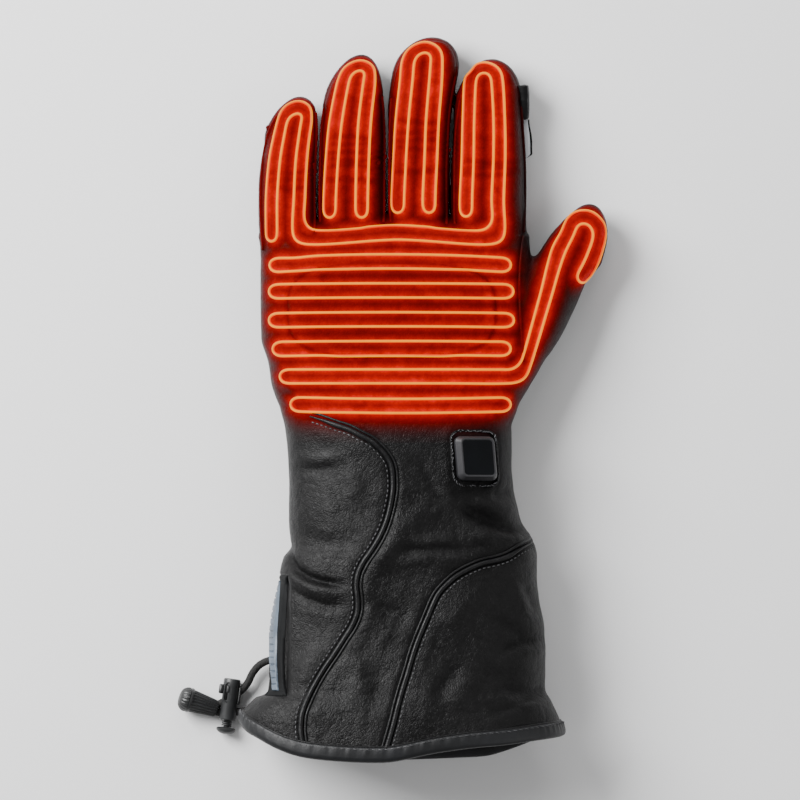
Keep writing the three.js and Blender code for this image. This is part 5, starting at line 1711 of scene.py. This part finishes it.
def side_label():
    low_end, high_end = (at(0, row)[1] for row in LABEL_ROWS)
    ys = np.linspace(low_end, high_end, 110)
    right = edge_at(ys, label_right)
    tops = evened(skin_heights(right - 0.6, ys), 12)
    strip_ys = np.linspace(low_end + 1.6, high_end - 1.8, 200)
    strip_tops = evened(skin_heights(np.interp(strip_ys, ys, right) - 3.1, strip_ys), 20)
    strip_lows = skin_heights(edge_at(strip_ys, label_left) + 0.7, strip_ys)
    strip_lows = evened(np.clip(strip_lows, 15.0, strip_tops - 3.0), 20)
    lows = np.interp(ys, strip_ys, strip_lows) - 3.2

    def frame_rise(u, v):
        return 0.2 + plateau(u, 0, 0.014) * plateau(v, 0, 0.05)

    def strip_rise(u, v):
        rib = smoothstep(np.abs(np.mod(u * LABEL_RIBS + 0.5, 1) - 0.5), 0.05, 0.16)
        sunk = 0.55 * (1 - rib) * plateau(v, 0.14, 0.2)
        return 1.0 + plateau(u, 0, 0.012) * plateau(v, 0, 0.1) * (1.0 - sunk)

    surround = side_patch(-1, ys, lows, tops, frame_rise, 30)
    strip = side_patch(-1, strip_ys, strip_lows, strip_tops, strip_rise, 26)
    side_piece("side_label_frame", surround, label_edge, "label_rubber", "side_label")
    side_piece("side_label_strip", strip, label_rubber, "label_rubber")


side_label()

# The visor wiper: the rows that its pieces span in the photograph's pixels, their lower
# and upper edges in millimetres above the table, and their points along and across.
wiper_spans = {
    "holder": dict(rows=(119.5, 85), low=8.2, high=16.2, along=40, across=16),
    "blade": dict(rows=(159.5, 118.5), low=10.4, high=13.6, along=50, across=7),
    "lip": dict(rows=(159.5, 118.5), low=9.6, high=10.5, along=50, across=5),
}


def wiper_patch(span, rise):
    ys = np.linspace(at(0, span["rows"][0])[1], at(0, span["rows"][1])[1], span["along"])
    lows, highs = np.full(span["along"], span["low"]), np.full(span["along"], span["high"])
    return side_patch(1, ys, lows, highs, rise, span["across"])


def wiper():
    def holder_rise(u, v):
        return 0.2 + plateau(u, -0.01, 0.05) * plateau(v, -0.05, 0.14) * (1.9 + 1.9 * u)

    def swell(u):
        return smoothstep(u, 0, 0.16) * (1 - 0.28 * smoothstep(u, 0.45, 1))

    def blade_rise(u, v):
        return 0.1 + 2.3 * swell(u)

    def lip_rise(u, v):
        return 0.3 + 3.5 * swell(u)

    holder = wiper_patch(wiper_spans["holder"], holder_rise)
    blade = wiper_patch(wiper_spans["blade"], blade_rise)
    lip = wiper_patch(wiper_spans["lip"], lip_rise)
    side_piece("wiper_holder", holder, wiper_black, "wiper_rubber", "visor_wiper_holder")
    side_piece("wiper_blade", blade, wiper_pale_and_highlight, "wiper_blade", "visor_wiper_blade")
    side_piece("wiper_lip", lip, wiper_black, "wiper_rubber")


wiper()


# Control button
button_up = Vector((0.2686, 0.0494, 0.9620)).normalized()
button_turn = Vector((0, 0, 1)).rotation_difference(button_up).to_matrix().to_4x4()
button_frame = Matrix.Translation((23.44, 140.9, 44.0)) @ button_turn
BUTTON_SKEW = -1.6
TOP_SKEW = BUTTON_SKEW * 0.8
TOP_SHIFT = (0.35, 0.38)
CAP_FOOT = 2.6
# Rings of the button's pieces from below: width, length, corner and height.
surround_rings = [
    (23.4, 27.4, 5.6, -3.0), (23.2, 27.2, 5.5, 0.5), (22.6, 26.6, 5.2, 1.15), (22.0, 26.0, 4.9, 1.45),
    (21.4, 25.3, 4.6, 1.45), (20.9, 24.7, 4.3, 1.1), (20.6, 24.2, 4.1, 0.4), (20.5, 23.9, 4.0, -1.4),
]
cap_foot_rings = [
    (18.8, 20.2, 2.8, -0.8), (18.8, 20.2, 2.8, 0.9), (18.6, 20.0, 2.7, 1.25), (18.2, 19.5, 2.5, 1.5),
]
CAP_SHOULDER = (16.0, 17.9, 2.1, 3.75)
cap_top_rings = [
    (15.7, 17.6, 2.0, 3.95), (15.2, 17.1, 1.9, 4.0), (14.6, 16.5, 1.7, 3.95), (14.3, 16.2, 1.6, 3.6),
]
face_rings = [(14.0, 15.9, 1.5, 3.3), (14.0, 15.9, 1.5, 3.7), (13.7, 15.6, 1.4, 3.78)]
hole_edge = (21.3, 25.2, 4.5, 1.45)


def rounded(width, length, radius, z, skew=0.0, shift=(0, 0), per=7):
    """A rounded rectangle at height z, with per steps to a corner."""
    points = []
    for side_x, side_y, quarter in ((1, 1, 0), (-1, 1, 1), (-1, -1, 2), (1, -1, 3)):
        for i in range(per + 1):
            angle = math.pi / 2 * (quarter + i / per)
            x = side_x * (width / 2 - radius) + radius * math.cos(angle)
            y = side_y * (length / 2 - radius) + radius * math.sin(angle)
            points.append((x + skew * (y / length) + shift[0], y + shift[1], z))
    return np.array(points)


def button_rings(rings, foot=0.0, skew=BUTTON_SKEW, shift=(0, 0)):
    return [rounded(*ring[:3], foot + ring[3], skew, shift) for ring in rings]


def button_piece(name, rings, surface, degrees, attributes=None):
    points, faces = stacked(rings)
    points = placed(points, button_frame)
    return recalculated(crisp(mesh_object(name, points, faces, surface, attributes=attributes), degrees))


def control_surround():
    rings = button_rings(surround_rings)
    count = sum(len(ring) for ring in rings)
    # The leather round the button gets no glow and an even painted shade.
    surround = button_piece("control_surround", rings, skin_leather, 60, {
        "ember": np.zeros(count), "glow": np.zeros(count), "wear": np.full(count, 0.1),
        "fold": np.full(count, 0.3),
    })
    dressed(surround, "bezel", "control_bezel")


def control_button():
    cap = button_rings(cap_foot_rings, CAP_FOOT)
    cap += button_rings([CAP_SHOULDER], CAP_FOOT, TOP_SKEW, (TOP_SHIFT[0], TOP_SHIFT[0]))
    cap += button_rings(cap_top_rings, CAP_FOOT, TOP_SKEW, TOP_SHIFT)
    cap = button_piece("control_cap", cap, cap_rubber, 22)
    dressed(cap, "button_rubber", "control_button", body="button")
    rings = button_rings(face_rings, CAP_FOOT, TOP_SKEW, TOP_SHIFT)
    face = button_piece("control_face", rings, face_plastic, 22)
    dressed(face, "button_face", "control_button_face", body="button")


def control_stitches():
    """Rough stitches round the hole, uneven in size and place."""
    edge = catmull(placed(rounded(*hole_edge, BUTTON_SKEW, per=10), button_frame), 0.4, closed=True)
    chance = np.random.default_rng(4)
    parts = []
    for i in range(0, len(edge), 3):
        size = chance.uniform(0.5, 1.5)
        away = chance.normal(0, 0.16, 3)
        along = edge[(i + 1) % len(edge)] - edge[i - 1]
        turn = chance.uniform(-0.9, 0.9)
        parts.append(stitch(edge[i] + away, along, np.array(button_up), 1.15 * size, 0.34, 0.45, turn))
    dressed(mesh_object("control_stitches", *joined(parts), pale_thread), "bezel")


control_surround()
control_stitches()
control_button()

# Cord lock
LOCK_X = -0.705 * PALM
LOCK_Y = 0.1565 * HAND
LOCK_TURN = 7.5
lock_frame = Matrix.Translation((LOCK_X, LOCK_Y, 4.3)) @ Matrix.Rotation(math.radians(-LOCK_TURN), 4, "Z")
# Turned profiles as radius and place along the lock's axis.
barrel_profile = [
    (0.3, 0.0), (3.5, 0.0), (4.0, -0.15), (4.25, -0.7), (4.25, -3.6), (4.15, -4.0), (4.15, -18.2),
    (4.05, -18.9),
    (3.6, -19.3), (2.2, -19.3),
]
plunger_profile = [
    (0.4, -17.6), (1.25, -17.6), (1.3, -22.3), (1.9, -22.5), (4.0, -22.8), (4.45, -23.3), (4.4, -24.0),
    (3.6, -24.9),
    (2.4, -25.5), (1.0, -25.75), (0.3, -25.8),
]
# Small blocks on the barrel: their middle, their size and how rounded they are.
SIDE_TAB = ((-4.5, -5.2, 0.6), (2.2, 4.4, 4.2), 0.5)
SIDE_RIDGE = ((4.2, -7.5, 0.0), (1.2, 8.0, 4.4), 0.35)
WINDOW = ((-1.3, -6.4, 3.35), (2.4, 7.6, 1.2), 0.3)
LEVER = ((-1.3, -5.0, 3.75), (1.5, 3.4, 1.2), 0.3)
WINDOW_RIM_HEIGHT = 3.75
SPRING = dict(radius=2.1, wire=0.32, start=-19.5, length=2.6, turns=3, steps=80)


def barrel_ripple(angles, radius, y):
    """Flattens the barrel on its two sides."""
    return -0.35 * np.abs(np.cos(angles)) ** 6 * (radius > 3)


def block(middle, size, radius):
    rings = []
    half = size[2] / 2
    for inset, z in ((1, -half), (0, radius - half), (0, half - radius), (1, half)):
        width, length = size[0] - 2 * radius * inset, size[1] - 2 * radius * inset
        rings.append(rounded(width, length, min(radius * 1.5, size[0] * 0.3), z, per=3))
    points, faces = stacked(rings)
    return points + np.array(middle), faces


def window_rim():
    line = rounded(3.2, 8.8, 1.5, WINDOW_RIM_HEIGHT, per=6) + np.array([WINDOW[0][0], WINDOW[0][1], 0])
    line = catmull(line, 0.4, closed=True)
    return sweep(line, np.tile([0, 0, 1.0], (len(line), 1)), circle(0.45, 8), closed=True)


def spring_coil():
    share = np.linspace(0, 1, SPRING["steps"])
    angles = share * 2 * math.pi * SPRING["turns"]
    x, z = SPRING["radius"] * np.cos(angles), SPRING["radius"] * np.sin(angles)
    line = np.stack([x, SPRING["start"] - SPRING["length"] * share, z], 1)
    return sweep(line, line * [1, 0, 1], circle(SPRING["wire"], 8))


def lock_piece(name, part, surface=None):
    points, faces = part
    return recalculated(mesh_object(name, placed(points, lock_frame), faces, surface or lock_plastic))


def cord_lock():
    barrel = [lathe(barrel_profile, 40, barrel_ripple), block(*SIDE_TAB), block(*SIDE_RIDGE), window_rim()]
    dressed(crisp(lock_piece("cord_lock", joined(barrel)), 40), "lock_plastic", "cord_lock_barrel")
    dressed(lock_piece("cord_lock_window", block(*WINDOW), wiper_black), "lock_plastic")
    dressed(lock_piece("cord_lock_lever", block(*LEVER)), "lock_plastic")
    plunger = crisp(lock_piece("cord_lock_button", lathe(plunger_profile, 36)), 40)
    dressed(plunger, "lock_plastic", "cord_lock_plunger", body="lock_plunger")
    dressed(lock_piece("cord_lock_spring", spring_coil()), "lock_plastic")


cord_lock()

# The cord's ribbed end, which lies beside the lock with its wide end on the table
END_TURN = 18
END_GRIP_RADIUS = 3.7
END_FOOT_RADIUS = 5.7
END_LENGTH = 18.6
END_NECK = 5.13
END_RIBS = 22
end_y = 0.1005 * HAND
end_drop = math.asin((END_FOOT_RADIUS - END_GRIP_RADIUS) / (END_LENGTH - END_NECK))
end_slant = END_GRIP_RADIUS * math.sin(math.radians(END_TURN - LOCK_TURN))
end_x = LOCK_X - (LOCK_Y - end_y) * math.tan(math.radians(LOCK_TURN)) - 4.3 - 0.3 - end_slant
end_frame = (
    Matrix.Translation((end_x, end_y, END_GRIP_RADIUS))
    @ Matrix.Rotation(math.radians(-90 - END_TURN), 4, "Z")
    @ Matrix.Rotation(-end_drop, 4, "X")
)
end_profile = [
    (1.6, 0.0), (2.9, 0.0), (3.5, -0.3), (3.75, -0.9), (4.1, -3.5), (4.45, -6.5), (4.8, -9.5),
    (5.1, -12.3), (5.15, -12.7),
    (5.6, -12.8), (5.75, -13.2), (5.75, -13.8), (5.45, -14.0), (5.45, -14.3), (5.7, -14.5),
    (5.6, -15.3), (5.2, -16.4),
    (4.5, -17.4), (3.5, -18.1), (2.2, -18.45), (0.5, -18.6),
]


def end_ripple(angles, radius, y):
    """Ribs along the grip, and finer ones round the foot."""
    ribs = np.cos(angles * END_RIBS)
    if -12.6 < y < -0.6:
        return 0.22 * ribs - 0.1
    return 0.12 * ribs * (y < -15.2 and radius > 2.0)


def cord_end_piece():
    points, faces = lathe(end_profile, 8 * END_RIBS, end_ripple)
    obj = crisp(mesh_object("cord_end_ribbed", placed(points, end_frame), faces, end_rubber), 55)
    return dressed(recalculated(obj), "cord_end_rubber", "cord_end")


cord_end = cord_end_piece()

# Drawcord
CORD_RADIUS = 1.75
CORD_SIDES = 20
CORD_STEP = 0.25
BRAID_STRANDS = 5
BRAID_TWIST = 2.4
nose = np.array(end_frame.translation)
end_axis = np.array(end_frame.to_3x3() @ Vector((0, -1, 0)))


def in_end(along, beside, above):
    """A place inside the cord's end, so far along it from its nose."""
    return tuple(nose + end_axis * along + [0, beside, above])


upper_route = [
    (-65.4, 48.3, 7.3), (-71.3, 47.5, 5.9), (-75.6, 45.3, 4.9), (-78.7, 41.6, 4.5), (-80.8, 37.4, 4.4),
    (-83.6, 34.0, 4.3), (-87.4, 31.2, 4.2), (-91.5, 28.8, 4.1), in_end(1.0, 1.6, 0.3),
    in_end(8.0, 1.7, 0.3), in_end(13.0, 1.8, 0.3),
]
lower_route = [
    (-71.2, 25.4, 5.0), (-76.0, 25.0, 4.2), (-80.0, 24.6, 3.8), (-84.6, 24.0, 3.8), (-90.0, 23.6, 3.8),
    in_end(0.5, -1.5, 0.1), in_end(8.0, -1.7, 0.1), in_end(14.0, -1.8, 0.1),
]


def drawcord(name, route, node_name):
    """A strand whose braid is two sets of threads winding opposite ways."""
    line = catmull(route, CORD_STEP)
    ups = np.tile([0, 0, 1.0], (len(line), 1))
    points, faces = sweep(line, ups, circle(CORD_RADIUS, CORD_SIDES))
    number = np.arange(len(points))
    angle = number % CORD_SIDES * 2 * math.pi / CORD_SIDES * BRAID_STRANDS
    twist = number // CORD_SIDES * CORD_STEP * BRAID_TWIST
    braid = np.maximum(np.cos(angle + twist), np.cos(angle - twist))
    centre = np.repeat(line, CORD_SIDES, 0)
    points = centre + (points - centre) * (1 + 0.05 * (braid - 0.5))[:, None]
    obj = recalculated(mesh_object(name, points, faces, cord_cloth))
    dressed(obj, "cord", node_name)
    length = np.linalg.norm(np.diff(catmull(route, 1.0), axis=0), axis=1).sum()
    framed(catmull(route, length / 24.0))


drawcord("drawcord_upper_braid", upper_route, "drawcord_upper")
drawcord("drawcord_lower_braid", lower_route, "drawcord_lower")

# Floor and light
FLOOR_REACH = 30.0
FLOOR_HEIGHT = -0.0002


def floor_plane():
    mesh = bpy.data.meshes.new("floor")
    ways = ((-1, -1), (1, -1), (1, 1), (-1, 1))
    corners = [(x * FLOOR_REACH, y * FLOOR_REACH, FLOOR_HEIGHT) for x, y in ways]
    mesh.from_pydata(corners, [], [(0, 1, 2, 3)])
    floor = bpy.data.objects.new("floor", mesh)
    scene.collection.objects.link(floor)
    surface, _, shader = material("floor")
    shader.inputs["Base Color"].default_value = (0.88, 0.88, 0.885, 1)
    shader.inputs["Roughness"].default_value = 0.9
    shader.inputs["Specular IOR Level"].default_value = 0.1
    mesh.materials.append(surface)


def studio():
    world = bpy.data.worlds.new("studio")
    world.use_nodes = True
    world.node_tree.nodes["Background"].inputs[0].default_value = (1, 1, 1, 1)
    world.node_tree.nodes["Background"].inputs[1].default_value = 0.32
    scene.world = world


def softbox(name, place, width, height, power):
    """A soft light that faces the middle of the glove."""
    data = bpy.data.lights.new(name, "AREA")
    data.shape = "RECTANGLE"
    data.size, data.size_y = width, height
    data.energy = power
    obj = bpy.data.objects.new(name, data)
    scene.collection.objects.link(obj)
    obj.location = place
    obj.rotation_mode = "QUATERNION"
    obj.rotation_quaternion = (-Vector(place)).to_track_quat("-Z", "Y")


floor_plane()
studio()
softbox("key", (-0.95, 0.6, 0.9), 0.9, 0.9, 54)
softbox("fill", (1.1, -0.3, 0.9), 1.0, 1.0, 5)
softbox("back", (0.1, 1.2, 0.8), 1.0, 0.4, 6)
